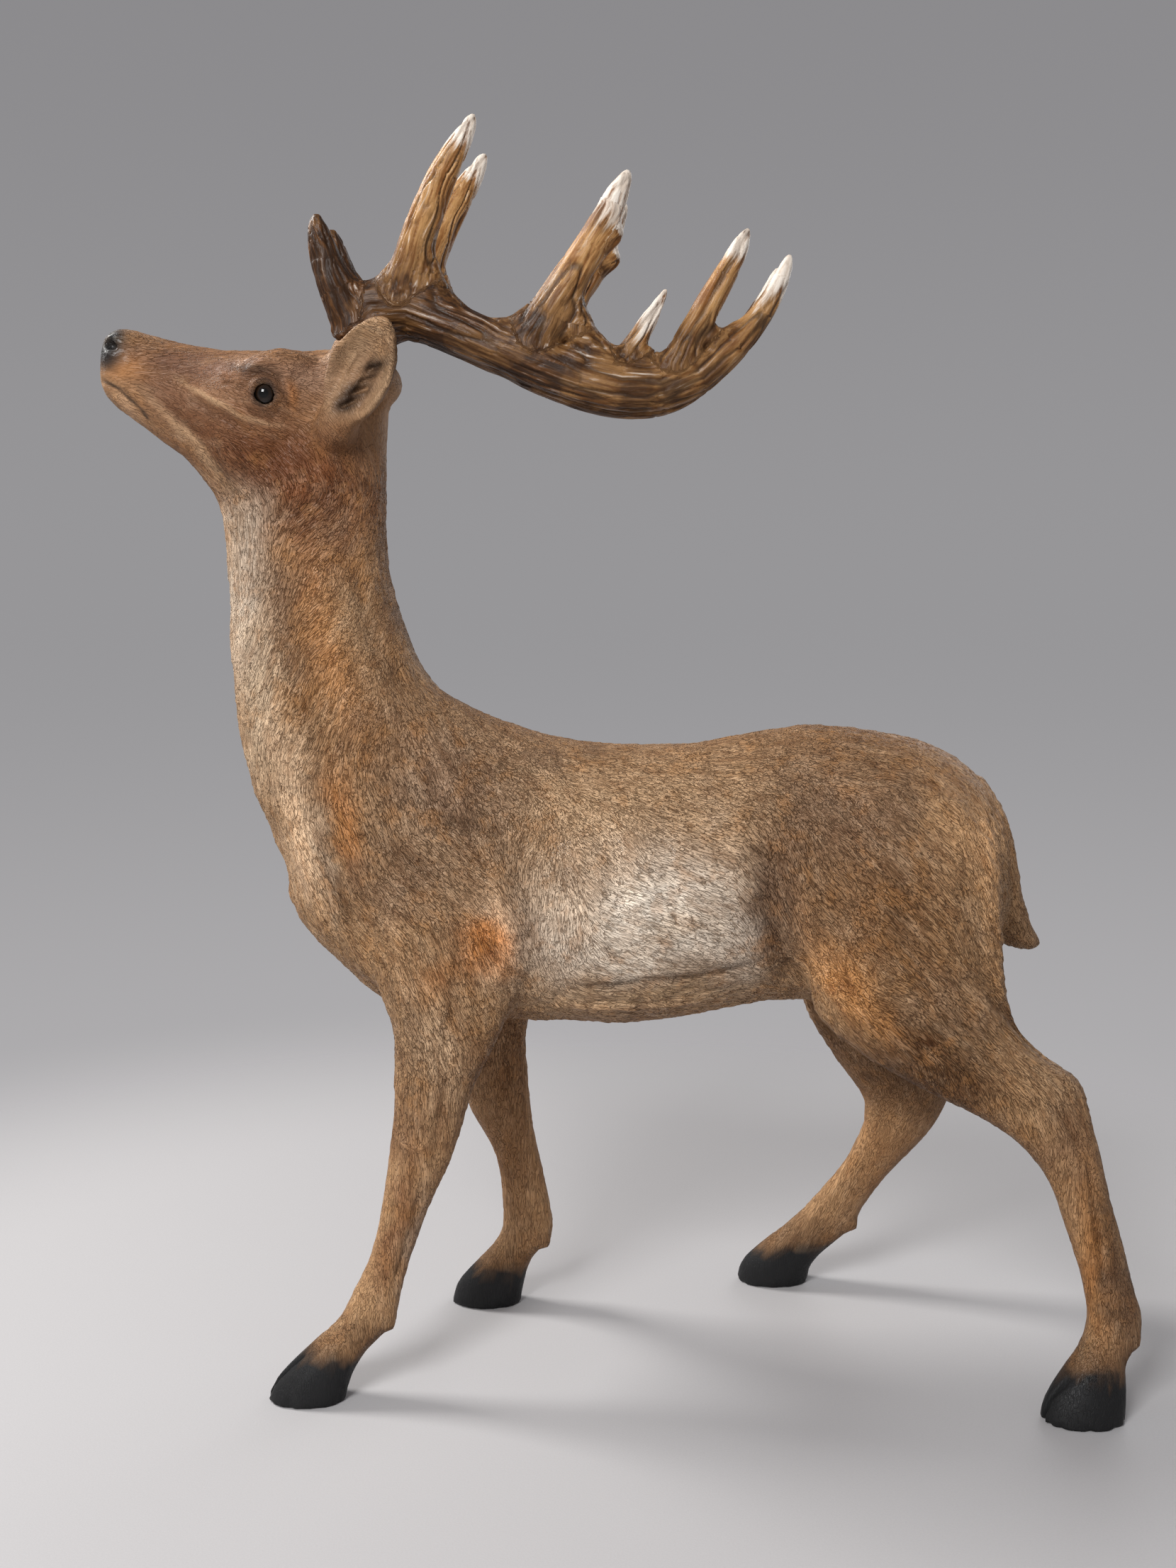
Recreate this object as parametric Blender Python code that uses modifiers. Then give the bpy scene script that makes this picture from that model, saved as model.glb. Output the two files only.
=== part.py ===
"""Resin deer statue: a stag that stands with its muzzle raised, cast in one body, with two antlers and two eyes of its own.

Metres, +Z up. The stag looks along -X, its left side is -Y, and it stands on the floor at Z = 0, with the origin under
the middle of the statue. Its form is written in hundredths of its own height: the rows and points below give X, Y and
Z on that scale, on which the floor comes at FLOOR_ROW and the highest tine tip at TOP_ROW.
"""

import math

import bmesh
import bpy
import numpy as np
from mathutils import Matrix, Vector

# Driving sizes, in metres
STATUE_HEIGHT = 1.44
EYE_DIAMETER = 0.028
EYE_SINK = 0.0058
EYE_CLEARANCE = 0.0003
PEDICLE_DIAMETER = 0.056
PEDICLE_ROOT = 0.056
PEDICLE_SHOULDER = 0.012
BURR_OVERHANG = 0.004
BURR_HEIGHT = 0.032
ANTLER_CLEARANCE = 0.0003
RIGHT_ANTLER_RAISE = 0.008
EAR_RIM = 0.0054
EAR_BACK_WALL = 0.0153
CLEFT_WIDTH = 0.0045
CLEFT_DEPTH = 0.009

# How finely the clay is carved, in metres and triangles
BODY_GRAIN = 0.0048
ANTLER_GRAIN = 0.0034
BODY_SMOOTHING = 9
ANTLER_SMOOTHING = 4
BODY_TRIANGLES = 5900
ANTLER_TRIANGLES = 960

# The scale of every row and point below, and the middle of the statue's length on it
MIDDLE_ROW = 0.4
FLOOR_ROW = 0.85
TOP_ROW = 100.0
SHARE = STATUE_HEIGHT / (TOP_ROW - FLOOR_ROW)

# The trunk from rump to nape: top X, top Z, bottom X, bottom Z, half width, and how much wider the top is than the bottom
TRUNK = (
    (31.6, 46.6, 32.4, 37.5, 3.2, 0.0),
    (30.0, 49.0, 31.0, 34.0, 5.2, 0.0),
    (27.8, 51.0, 28.2, 32.6, 6.8, 0.0),
    (24.3, 52.4, 24.1, 31.6, 7.9, 0.0),
    (19.6, 53.2, 19.4, 30.8, 8.2, -0.05),
    (15.0, 53.3, 15.0, 30.7, 8.1, -0.12),
    (10.4, 52.5, 10.6, 30.4, 8.2, -0.16),
    (5.8, 51.8, 5.7, 29.3, 8.6, -0.18),
    (1.2, 51.8, 0.7, 28.8, 8.8, -0.18),
    (-3.4, 52.2, -4.0, 29.1, 8.5, -0.18),
    (-7.4, 53.3, -8.4, 29.2, 7.9, -0.20),
    (-10.6, 54.5, -12.8, 29.7, 7.4, -0.22),
    (-12.6, 55.6, -17.5, 30.3, 7.1, -0.20),
    (-14.0, 56.7, -21.5, 33.3, 6.9, -0.16),
    (-15.0, 58.1, -25.1, 37.2, 6.6, -0.12),
    (-15.8, 59.5, -26.6, 43.0, 6.1, -0.10),
    (-16.4, 61.4, -28.7, 47.7, 5.6, -0.10),
    (-17.1, 63.5, -29.9, 52.9, 5.2, -0.08),
    (-17.6, 66.1, -30.4, 58.1, 4.8, -0.06),
    (-17.8, 69.2, -30.5, 63.2, 4.4, -0.04),
    (-17.8, 72.3, -30.6, 67.5, 4.1, 0.0),
    (-17.6, 75.6, -31.1, 71.0, 4.0, 0.0),
    (-17.5, 78.4, -31.3, 71.5, 3.9, 0.05),
)

# The head from nape to nose, in the same figures
HEAD = (
    (-18.0, 76.6, -30.4, 69.0, 3.6, 0.0),
    (-18.8, 81.6, -31.0, 71.9, 3.6, 0.10),
    (-20.6, 82.6, -31.6, 71.8, 4.0, 0.10),
    (-22.8, 82.8, -32.7, 73.3, 4.3, 0.20),
    (-25.3, 82.9, -33.7, 74.4, 4.2, 0.34),
    (-27.5, 83.0, -34.7, 75.2, 3.6, 0.30),
    (-29.8, 83.0, -35.8, 76.0, 2.9, 0.20),
    (-32.0, 83.3, -36.9, 76.8, 2.45, 0.12),
    (-34.3, 83.7, -37.8, 77.5, 2.25, 0.08),
    (-36.2, 84.3, -38.7, 78.2, 2.2, 0.06),
    (-37.9, 84.7, -39.5, 78.8, 2.15, 0.10),
    (-39.0, 84.7, -40.0, 79.4, 2.0, 0.12),
    (-39.9, 84.0, -40.3, 80.2, 1.4, 0.10),
)

# The tail, in the same figures, with its back as the top
TAIL = (
    (30.6, 49.2, 28.2, 47.0, 1.5, 0.0),
    (32.4, 46.0, 29.6, 44.6, 1.9, 0.0),
    (33.3, 42.7, 30.4, 42.2, 1.9, 0.0),
    (33.7, 39.9, 31.0, 39.4, 1.7, 0.0),
    (34.6, 37.2, 31.6, 36.6, 1.5, 0.0),
    (35.4, 35.9, 32.6, 35.1, 1.2, 0.0),
    (35.8, 35.2, 34.8, 34.6, 0.5, 0.0),
)

# Each leg's rows, top to bottom: Z, front X, rear X and half width; the last lies below the floor, where it is cut
LEFT_FORELEG = (
    (46.0, -17.5, -9.5, 1.2),
    (41.0, -19.6, -7.0, 2.9),
    (35.3, -19.1, -6.0, 3.3),
    (32.6, -18.2, -7.0, 3.0),
    (29.9, -17.2, -8.4, 2.6),
    (27.3, -17.0, -9.5, 2.3),
    (24.6, -17.0, -10.8, 2.05),
    (22.0, -17.2, -11.6, 1.9),
    (19.3, -17.5, -12.4, 1.8),
    (16.6, -17.9, -13.8, 1.5),
    (14.0, -18.4, -14.8, 1.3),
    (11.3, -19.2, -15.8, 1.3),
    (8.7, -20.5, -16.4, 1.5),
    (7.4, -21.2, -16.7, 1.6),
    (6.1, -22.4, -17.6, 1.6),
    (4.7, -24.0, -19.0, 1.75),
    (3.4, -25.4, -19.9, 1.95),
    (2.1, -26.5, -20.4, 2.05),
    (0.8, -26.9, -20.7, 2.1),
    (-0.8, -26.9, -20.8, 2.1),
)
RIGHT_FORELEG = (
    (46.0, -14.5, -7.5, 1.2),
    (41.0, -16.2, -5.2, 2.9),
    (36.0, -16.2, -4.2, 3.3),
    (33.1, -15.6, -4.6, 3.0),
    (30.0, -14.6, -5.9, 2.6),
    (27.0, -13.9, -7.0, 2.3),
    (23.8, -13.3, -7.0, 2.05),
    (20.7, -12.5, -6.7, 1.9),
    (18.5, -11.6, -6.5, 1.8),
    (15.9, -10.2, -6.1, 1.5),
    (12.7, -9.4, -5.4, 1.3),
    (9.5, -9.2, -4.8, 1.5),
    (7.8, -9.4, -4.7, 1.6),
    (6.2, -10.3, -5.8, 1.6),
    (4.5, -11.9, -6.9, 1.75),
    (2.9, -13.3, -7.3, 2.0),
    (1.2, -13.9, -7.6, 2.1),
    (-0.8, -13.9, -7.7, 2.1),
)
LEFT_HIND_LEG = (
    (48.0, 20.5, 27.5, 1.0),
    (43.0, 17.4, 30.2, 2.9),
    (38.3, 16.0, 30.7, 3.7),
    (35.0, 15.6, 30.9, 3.8),
    (31.6, 15.9, 31.5, 3.7),
    (30.3, 16.8, 31.9, 3.5),
    (29.0, 18.3, 32.8, 3.3),
    (27.7, 20.1, 34.4, 3.0),
    (26.4, 22.5, 36.4, 2.8),
    (25.1, 25.0, 37.2, 2.5),
    (23.8, 27.7, 37.5, 2.2),
    (22.6, 30.0, 37.7, 2.0),
    (21.3, 31.8, 38.1, 1.85),
    (18.7, 33.9, 38.6, 1.7),
    (16.2, 34.9, 39.1, 1.5),
    (13.6, 35.7, 39.9, 1.35),
    (11.1, 36.4, 40.4, 1.35),
    (8.6, 36.8, 41.1, 1.6),
    (7.4, 36.6, 40.7, 1.6),
    (6.1, 36.0, 40.0, 1.6),
    (4.9, 35.0, 39.6, 1.75),
    (3.6, 34.0, 39.7, 2.0),
    (2.4, 33.2, 39.6, 2.1),
    (1.1, 32.9, 39.5, 2.15),
    (-0.8, 32.9, 39.5, 2.15),
)
RIGHT_HIND_LEG = (
    (48.0, 20.5, 27.5, 1.0),
    (43.0, 17.6, 30.8, 3.0),
    (38.0, 16.6, 32.0, 3.9),
    (32.9, 16.7, 32.2, 3.9),
    (29.7, 16.6, 32.3, 3.5),
    (26.5, 18.0, 32.0, 3.0),
    (23.2, 20.1, 31.2, 2.5),
    (19.9, 22.6, 30.5, 2.0),
    (18.2, 22.9, 30.0, 1.85),
    (16.5, 22.8, 29.0, 1.75),
    (14.8, 22.1, 27.8, 1.65),
    (13.1, 21.4, 26.4, 1.5),
    (11.4, 20.2, 25.1, 1.35),
    (9.6, 18.8, 24.0, 1.35),
    (7.9, 17.5, 23.0, 1.5),
    (6.1, 15.7, 22.1, 1.6),
    (4.4, 13.8, 20.3, 1.8),
    (2.6, 12.3, 18.9, 2.1),
    (0.8, 12.0, 18.6, 2.15),
    (-0.8, 12.0, 18.6, 2.15),
)

LEGS = {
    "left_foreleg": LEFT_FORELEG,
    "right_foreleg": RIGHT_FORELEG,
    "left_hind_leg": LEFT_HIND_LEG,
    "right_hind_leg": RIGHT_HIND_LEG,
}

# Where each leg stands across the body: Y at the top of the leg's free length and Y at its hoof
LEG_TOP_Z = 36.0
LEG_SPREAD = {
    "left_foreleg": (-4.9, -9.8),
    "right_foreleg": (4.9, 9.3),
    "left_hind_leg": (-5.7, -13.5),
    "right_hind_leg": (5.7, 14.2),
}

# Muscles and other rounded forms: centre X, Y, Z, half sizes X, Y, Z and turn about Y in degrees; +-Y makes a pair
PAIRED_MASSES = (
    ((-14.8, 4.4, 41.0), (5.8, 2.8, 9.0), 24),
    ((-11.6, 5.0, 35.2), (5.0, 2.7, 4.2), -20),
    ((22.6, 4.5, 41.0), (8.2, 4.1, 9.4), -22),
    ((-21.6, 2.2, 46.0), (2.9, 3.1, 7.4), -18),
    ((-27.4, 2.6, 76.2), (4.2, 1.35, 3.0), -38),
    ((-26.0, 3.2, 81.4), (3.0, 1.2, 1.2), -4),
    ((-38.2, 1.3, 82.8), (1.7, 0.85, 1.5), 0),
)
SINGLE_MASSES = (
    ((-20.6, 0.0, 80.4), (4.3, 3.9, 2.6), 0),
    ((-25.1, 0.0, 39.4), (1.1, 1.2, 1.8), -24),
    ((-38.7, 0.0, 79.8), (1.3, 1.5, 0.9), -35),
)

# Locks of hair along the belly's edge and down the chest: where the row starts and ends, and how many locks
BELLY_LOCKS = ((-8.0, 29.6), (11.0, 30.8), 9)
CHEST_LOCKS = ((-27.9, 48.5), (-26.0, 42.0), 4)
LOCK_SIZES = (0.55, 0.6, 1.5)
LOCK_SWAY = 0.9
LOCK_SWAY_STEP = 2.4
LOCK_LEAN = 12

# Where each hoof's cleft starts, the dewclaws behind each fetlock, and the carved mouth and nostrils
HOOF_TOP_Z = 4.6
DEWCLAW_Z = 7.0
DEWCLAW_SIZES = (0.62, 0.5, 0.95)
DEWCLAW_OUT = 0.75
DEWCLAW_IN = 0.25
DEWCLAW_TURN = -20
MOUTH_LINE = ((-40.9, 0.0, 80.6, 0.26), (-40.2, 1.1, 80.6, 0.26), (-39.2, 1.6, 80.1, 0.26), (-38.0, 1.65, 79.2, 0.24),
              (-36.9, 1.45, 78.0, 0.2), (-36.3, 1.25, 77.3, 0.14))
NOSTRIL = ((-39.0, 1.75, 83.2), (0.75, 0.5, 0.42), 28)

# The eye, the ear and the antler's seat
EYE_PLACE = (-26.6, 79.15)
EYE_SKIN_Y = 4.15
EAR_ROOT = ((-21.4, 3.0, 76.2, 1.6), (-21.1, 4.1, 76.6, 1.7), (-20.2, 4.5, 78.4, 1.5), (-19.2, 5.0, 80.4, 0.8))
EAR_BASE = (-21.1, 4.7, 76.6)
EAR_TIP = (-16.7, 7.6, 84.6)
EAR_OPENS = (-0.35, 1.0, -0.12)
EAR_HALF_WIDTH = 2.75
EAR_HALF_DEPTH = 1.8
EAR_TIP_TAPER = 0.34
EAR_BASE_TAPER = 0.1
RIGHT_EAR_FORWARD = 1.4
RIGHT_TIP_FORWARD = 3.2
SEAT =(-19.5, 2.65, 83.3)
SEAT_LEAN = (0.10, 0.06, 1.0)

# The left antler, rows of X, Y, Z and radius, with Y outward; the right one mirrors it
BEAM = (
    (-19.6, 2.6, 82.0, 2.00),
    (-19.3, 2.7, 84.2, 1.95),
    (-17.8, 3.0, 85.4, 1.95),
    (-15.2, 3.5, 85.4, 1.92),
    (-11.8, 4.1, 84.1, 1.85),
    (-8.5, 4.6, 82.6, 1.80),
    (-5.3, 4.8, 81.2, 1.85),
    (-2.3, 5.0, 80.1, 1.82),
    (0.8, 5.2, 79.3, 1.72),
    (3.9, 5.2, 79.2, 1.55),
    (6.8, 5.0, 80.3, 1.32),
    (9.5, 4.8, 82.5, 1.15),
    (11.6, 4.6, 85.1, 0.98),
    (13.1, 4.3, 87.7, 0.75),
    (13.9, 4.0, 90.0, 0.38),
)
TINES = (
    ((-19.2, 2.9, 83.6, 1.85), (-19.9, 3.1, 85.2, 1.85), (-20.7, 3.4, 86.8, 1.70), (-21.6, 3.7, 88.7, 1.40),
     (-22.2, 3.9, 90.8, 1.06), (-22.4, 4.0, 92.1, 0.76), (-22.45, 4.0, 92.9, 0.34)),
    ((-16.4, 3.4, 84.8, 1.80), (-15.9, 3.6, 86.4, 1.85), (-15.3, 4.2, 88.5, 1.62), (-14.2, 5.2, 91.6, 1.42),
     (-12.6, 6.1, 95.0, 1.20), (-11.1, 6.6, 97.4, 0.92), (-10.0, 6.9, 99.5, 0.42)),
    ((-6.9, 4.7, 81.4, 1.7), (-5.8, 4.8, 82.8, 1.90), (-4.7, 5.1, 84.8, 1.75), (-3.3, 5.4, 87.1, 1.55),
     (-1.5, 5.9, 89.8, 1.36), (0.0, 6.2, 92.6, 1.08), (1.0, 6.5, 94.5, 0.78), (1.5, 6.6, 95.5, 0.36)),
    ((-2.2, 5.6, 89.0, 1.1), (-0.9, 5.8, 90.0, 1.1), (0.2, 5.9, 90.6, 0.90), (0.9, 6.0, 91.2, 0.65)),
    ((-0.5, 5.0, 79.6, 1.2), (0.7, 5.0, 80.9, 1.1), (1.6, 5.1, 82.4, 0.92), (2.7, 5.2, 84.2, 0.78),
     (3.7, 5.3, 85.8, 0.60), (4.5, 5.4, 87.2, 0.34)),
    ((4.0, 5.1, 79.8, 1.4), (5.0, 5.2, 81.2, 1.38), (5.8, 5.3, 82.7, 1.24), (7.2, 5.6, 85.2, 1.12),
     (8.6, 5.8, 87.6, 0.98), (9.7, 5.9, 89.6, 0.82), (10.5, 6.0, 91.5, 0.38)),
)

RING_SIDES = 24
ROWS_BETWEEN = 3


def at(x, y, z):
    """The point in metres of a place on the rows' scale."""
    return Vector((x - MIDDLE_ROW, y, z - FLOOR_ROW)) * SHARE


def clear_scene():
    for obj in list(bpy.data.objects):
        bpy.data.objects.remove(obj, do_unlink=True)


def new_collection(name, hidden=False):
    collection = bpy.data.collections.new(name)
    collection.hide_render = hidden
    bpy.context.scene.collection.children.link(collection)
    return collection


def new_object(name, mesh, collection):
    obj = bpy.data.objects.new(name, mesh)
    collection.objects.link(obj)
    return obj


def painted(name, colour, roughness, coat=0.0):
    """A paint finish: a Principled material of one colour."""
    material = bpy.data.materials.new(name)
    material.use_nodes = True
    shader = material.node_tree.nodes["Principled BSDF"]
    shader.inputs["Base Color"].default_value = (*colour, 1.0)
    shader.inputs["Roughness"].default_value = roughness
    shader.inputs["Metallic"].default_value = 0.0
    shader.inputs["Coat Weight"].default_value = coat
    material.diffuse_color = (*colour, 1.0)
    return material


def smoothed(rows, between=ROWS_BETWEEN):
    """The rows, with more between each two of them, read from one smooth curve through them all."""
    rows = np.array(rows, dtype=float)
    padded = np.vstack([2 * rows[0] - rows[1], rows, 2 * rows[-1] - rows[-2]])
    out = []
    for i in range(1, len(rows)):
        before, start, end, after = padded[i - 1 : i + 3]
        for step in range(between):
            t = step / between
            out.append(
                0.5
                * (
                    2 * start
                    + (end - before) * t
                    + (2 * before - 5 * start + 4 * end - after) * t**2
                    + (3 * start - before - 3 * end + after) * t**3
                )
            )
    out.append(rows[-1])
    return np.array(out)


def add_loft(name, rings, collection):
    """A closed skin over a row of rings of points, with a fan over each end."""
    mesh = bpy.data.meshes.new(name)
    made = bmesh.new()
    loops = [[made.verts.new(point) for point in ring] for ring in rings]
    for near, far in zip(loops, loops[1:]):
        for i in range(len(near)):
            j = (i + 1) % len(near)
            made.faces.new((near[i], near[j], far[j], far[i]))
    made.faces.new(list(reversed(loops[0])))
    made.faces.new(loops[-1])
    bmesh.ops.recalc_face_normals(made, faces=made.faces)
    made.to_mesh(mesh)
    made.free()
    return new_object(name, mesh, collection)


def add_trunk_form(name, rows, collection):
    """A loft of upright rings on the midline, from rows like TRUNK's."""
    rings = []
    for top_x, top_z, low_x, low_z, half_width, top_heavy in smoothed(rows):
        ring = []
        for i in range(RING_SIDES):
            angle = 2 * math.pi * i / RING_SIDES
            up = math.cos(angle)
            out = math.sin(angle) * (1 + top_heavy * up)
            x = (top_x + low_x) / 2 + up * (top_x - low_x) / 2
            z = (top_z + low_z) / 2 + up * (top_z - low_z) / 2
            ring.append(at(x, out * half_width, z))
        rings.append(ring)
    return add_loft(name, rings, collection)


def leg_y(name, z):
    """How far across the body a leg's middle is at that height."""
    top_y, hoof_y = LEG_SPREAD[name]
    down = min(max(1 - z / LEG_TOP_Z, 0.0), 1.0)
    return top_y + (hoof_y - top_y) * down


def row_at(rows, z):
    """The front X and rear X of a leg at that height."""
    table = np.array(rows)[::-1]
    return np.interp(z, table[:, 0], table[:, 1]), np.interp(z, table[:, 0], table[:, 2])


def add_leg(name, rows, collection):
    """A loft of level rings down a leg, which leans outward from its top to its hoof."""
    rings = []
    for z, front, rear, half_width in smoothed(rows):
        y = leg_y(name, z)
        ring = []
        for i in range(RING_SIDES):
            angle = 2 * math.pi * i / RING_SIDES
            x = (front + rear) / 2 + math.cos(angle) * (rear - front) / 2
            ring.append(at(x, y + math.sin(angle) * half_width, z))
        rings.append(ring)
    return add_loft(name, rings, collection)


def add_mass(name, centre, half_sizes, turn, collection, segments=24):
    """A rounded lump of clay: an ellipsoid, turned about the Y axis."""
    mesh = bpy.data.meshes.new(name)
    made = bmesh.new()
    bmesh.ops.create_uvsphere(made, u_segments=segments, v_segments=segments // 2, radius=1.0)
    made.to_mesh(mesh)
    made.free()
    place = Matrix.Translation(at(*centre))
    turned = Matrix.Rotation(math.radians(turn), 4, "Y")
    stretch = Matrix.Diagonal((*(Vector(half_sizes) * SHARE), 1.0))
    mesh.transform(place @ turned @ stretch)
    return new_object(name, mesh, collection)


def add_tube(name, rows, collection, side=-1.0, roundness=3):
    """A round tube along X, Y, Z and radius rows, as a bevelled curve made a mesh."""
    curve = bpy.data.curves.new(name, "CURVE")
    curve.dimensions = "3D"
    curve.bevel_depth = SHARE
    curve.bevel_resolution = roundness
    curve.use_fill_caps = True
    points = smoothed(rows)
    spline = curve.splines.new("POLY")
    spline.points.add(len(points) - 1)
    for place, (x, y, z, radius) in zip(spline.points, points):
        place.co = (*at(x, side * y, z), 1.0)
        place.radius = radius
    guide = new_object(name, curve, collection)
    bpy.context.view_layer.update()
    mesh = bpy.data.meshes.new_from_object(guide.evaluated_get(bpy.context.evaluated_depsgraph_get()))
    bpy.data.objects.remove(guide, do_unlink=True)
    welded = bmesh.new()
    welded.from_mesh(mesh)
    bmesh.ops.remove_doubles(welded, verts=welded.verts, dist=0.00001)
    bmesh.ops.recalc_face_normals(welded, faces=welded.faces)
    welded.to_mesh(mesh)
    welded.free()
    return new_object(name, mesh, collection)


def add_locks(name, start, end, count, collection):
    """A row of locks of hair along the midline, from start to end in X and Z, each one a slim ellipsoid."""
    lean = math.degrees(math.atan2(end[0] - start[0], end[1] - start[1]))
    locks = []
    for i in range(count):
        along = (i + 0.5) / count
        x = start[0] + (end[0] - start[0]) * along
        z = start[1] + (end[1] - start[1]) * along
        y = LOCK_SWAY * math.sin(LOCK_SWAY_STEP * i)
        locks.append(add_mass(f"{name}_{i}", (x, y, z), LOCK_SIZES, lean + LOCK_LEAN, collection))
    return locks


def apply_all(obj):
    """The object's modifiers, applied to its mesh."""
    bpy.context.view_layer.update()
    evaluated = obj.evaluated_get(bpy.context.evaluated_depsgraph_get())
    mesh = bpy.data.meshes.new_from_object(evaluated)
    obj.modifiers.clear()
    obj.data = mesh


def fused(name, lumps, grain, smoothing, triangles, collection):
    """One skin over all the lumps of clay, smoothed where they meet and thinned to about this many triangles."""
    joined = bmesh.new()
    for lump in lumps:
        joined.from_mesh(lump.data)
        bpy.data.objects.remove(lump, do_unlink=True)
    mesh = bpy.data.meshes.new(name)
    joined.to_mesh(mesh)
    joined.free()
    obj = new_object(name, mesh, collection)
    skin = obj.modifiers.new("Skin", "REMESH")
    skin.mode = "VOXEL"
    skin.voxel_size = grain
    soften = obj.modifiers.new("Soften", "SMOOTH")
    soften.factor = 0.5
    soften.iterations = smoothing
    apply_all(obj)
    obj.data.calc_loop_triangles()
    thin = obj.modifiers.new("Thin", "DECIMATE")
    thin.ratio = triangles / len(obj.data.loop_triangles)
    thin.use_collapse_triangulate = True
    apply_all(obj)
    return obj


def cut_away(obj, cutters):
    """The object with each cutter's volume taken out of it."""
    for cutter in cutters:
        cutter.display_type = "WIRE"
        cutter.hide_render = True
        cut = obj.modifiers.new(cutter.name, "BOOLEAN")
        cut.operation = "DIFFERENCE"
        cut.solver = "EXACT"
        cut.object = cutter
    apply_all(obj)


def add_ball_cutter(name, centre, radius, collection):
    mesh = bpy.data.meshes.new(name)
    made = bmesh.new()
    bmesh.ops.create_icosphere(made, subdivisions=3, radius=radius)
    made.to_mesh(mesh)
    made.free()
    cutter = new_object(name, mesh, collection)
    cutter.location = centre
    return cutter


def add_block_cutter(name, low, high, collection):
    mesh = bpy.data.meshes.new(name)
    made = bmesh.new()
    bmesh.ops.create_cube(made, size=1.0)
    size = Vector(high) - Vector(low)
    bmesh.ops.scale(made, vec=size, verts=made.verts)
    made.to_mesh(mesh)
    made.free()
    cutter = new_object(name, mesh, collection)
    cutter.location = (Vector(high) + Vector(low)) / 2
    return cutter


def add_disc(name, face, axis, radius, height, collection):
    """A cylinder, of clay or to cut with, that starts at the point on its face and runs along the axis."""
    mesh = bpy.data.meshes.new(name)
    made = bmesh.new()
    bmesh.ops.create_cone(made, cap_ends=True, segments=32, radius1=radius, radius2=radius, depth=height)
    bmesh.ops.translate(made, vec=(0, 0, height / 2), verts=made.verts)
    made.to_mesh(mesh)
    made.free()
    mesh.transform(Matrix.Translation(face) @ axis.to_track_quat("Z", "Y").to_matrix().to_4x4())
    return new_object(name, mesh, collection)


def seat_of(side):
    """The point and the axis of the flat seat where an antler stands on its pedicle."""
    point = at(SEAT[0], side * SEAT[1], SEAT[2])
    if side > 0:
        point.z += RIGHT_ANTLER_RAISE
    axis = Vector((SEAT_LEAN[0], side * SEAT_LEAN[1], SEAT_LEAN[2])).normalized()
    return point, axis


def eye_centre(side):
    """An eye sits a little deeper than the skin beside it."""
    x, z = EYE_PLACE
    return at(x, side * EYE_SKIN_Y, z) - Vector((0.0, side * EYE_SINK, 0.0))


def add_ear(name, side, collection):
    """A leaf-shaped ear, hollowed on the side that it opens to, on a short root. The right ear is pricked forward."""
    forward = RIGHT_EAR_FORWARD if side > 0 else 0.0
    tip_forward = RIGHT_TIP_FORWARD if side > 0 else 0.0
    base = at(EAR_BASE[0] - forward, side * EAR_BASE[1], EAR_BASE[2])
    tip = at(EAR_TIP[0] - tip_forward, side * EAR_TIP[1], EAR_TIP[2])
    along = (tip - base).normalized()
    half_length = (tip - base).length / 2
    opens = Vector((EAR_OPENS[0], side * EAR_OPENS[1], EAR_OPENS[2]))
    opens = (opens - along * opens.dot(along)).normalized()
    across = along.cross(opens)
    frame = Matrix((across, opens, along)).transposed().to_4x4()
    frame.translation = (base + tip) / 2

    def leaf(leaf_name, grow, shift):
        made = bmesh.new()
        bmesh.ops.create_uvsphere(made, u_segments=28, v_segments=20, radius=1.0)
        for point in made.verts:
            taper = 1 - (EAR_TIP_TAPER if point.co.z > 0 else EAR_BASE_TAPER) * point.co.z**2
            point.co.x *= taper * (EAR_HALF_WIDTH * SHARE + grow)
            point.co.y = point.co.y * taper * (EAR_HALF_DEPTH * SHARE + grow) + shift
            point.co.z *= half_length + grow
        mesh = bpy.data.meshes.new(leaf_name)
        made.to_mesh(mesh)
        made.free()
        mesh.transform(frame)
        if frame.determinant() < 0:
            mesh.flip_normals()
        return new_object(leaf_name, mesh, collection)

    ear = leaf(name, 0.0, 0.0)
    hollow = leaf(name + "_hollow", -EAR_RIM, EAR_BACK_WALL - EAR_RIM)
    cut_away(ear, [hollow])
    bpy.data.objects.remove(hollow, do_unlink=True)
    root = [(x - forward, y, z, radius) for x, y, z, radius in EAR_ROOT]
    return [ear, add_tube(name + "_root", root, collection, side)]


def body_clay(clay):
    """Every lump of the cast body: trunk, head, legs, tail, ears, muscles, locks and the antlers' pedicles."""
    lumps = [
        add_trunk_form("trunk", TRUNK, clay),
        add_trunk_form("head", HEAD, clay),
        add_trunk_form("tail", TAIL, clay),
    ]
    for name, rows in LEGS.items():
        lumps.append(add_leg(name, rows, clay))
        lumps += add_dewclaws(name, rows, clay)
    for i, (centre, half_sizes, turn) in enumerate(SINGLE_MASSES):
        lumps.append(add_mass(f"mass_{i}", centre, half_sizes, turn, clay))
    for i, ((x, y, z), half_sizes, turn) in enumerate(PAIRED_MASSES):
        for side in (-1, 1):
            lumps.append(add_mass(f"mass_{side}_{i}", (x, side * y, z), half_sizes, turn, clay))
    lumps += add_locks("belly_lock", *BELLY_LOCKS, clay)
    lumps += add_locks("chest_lock", *CHEST_LOCKS, clay)
    for side in (-1, 1):
        lumps += add_ear(f"ear_{side}", side, clay)
        point, axis = seat_of(side)
        lumps.append(add_disc(f"pedicle_{side}", point - axis * PEDICLE_ROOT, axis, PEDICLE_DIAMETER / 2,
                              PEDICLE_ROOT + PEDICLE_SHOULDER, clay))
    return lumps


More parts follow.
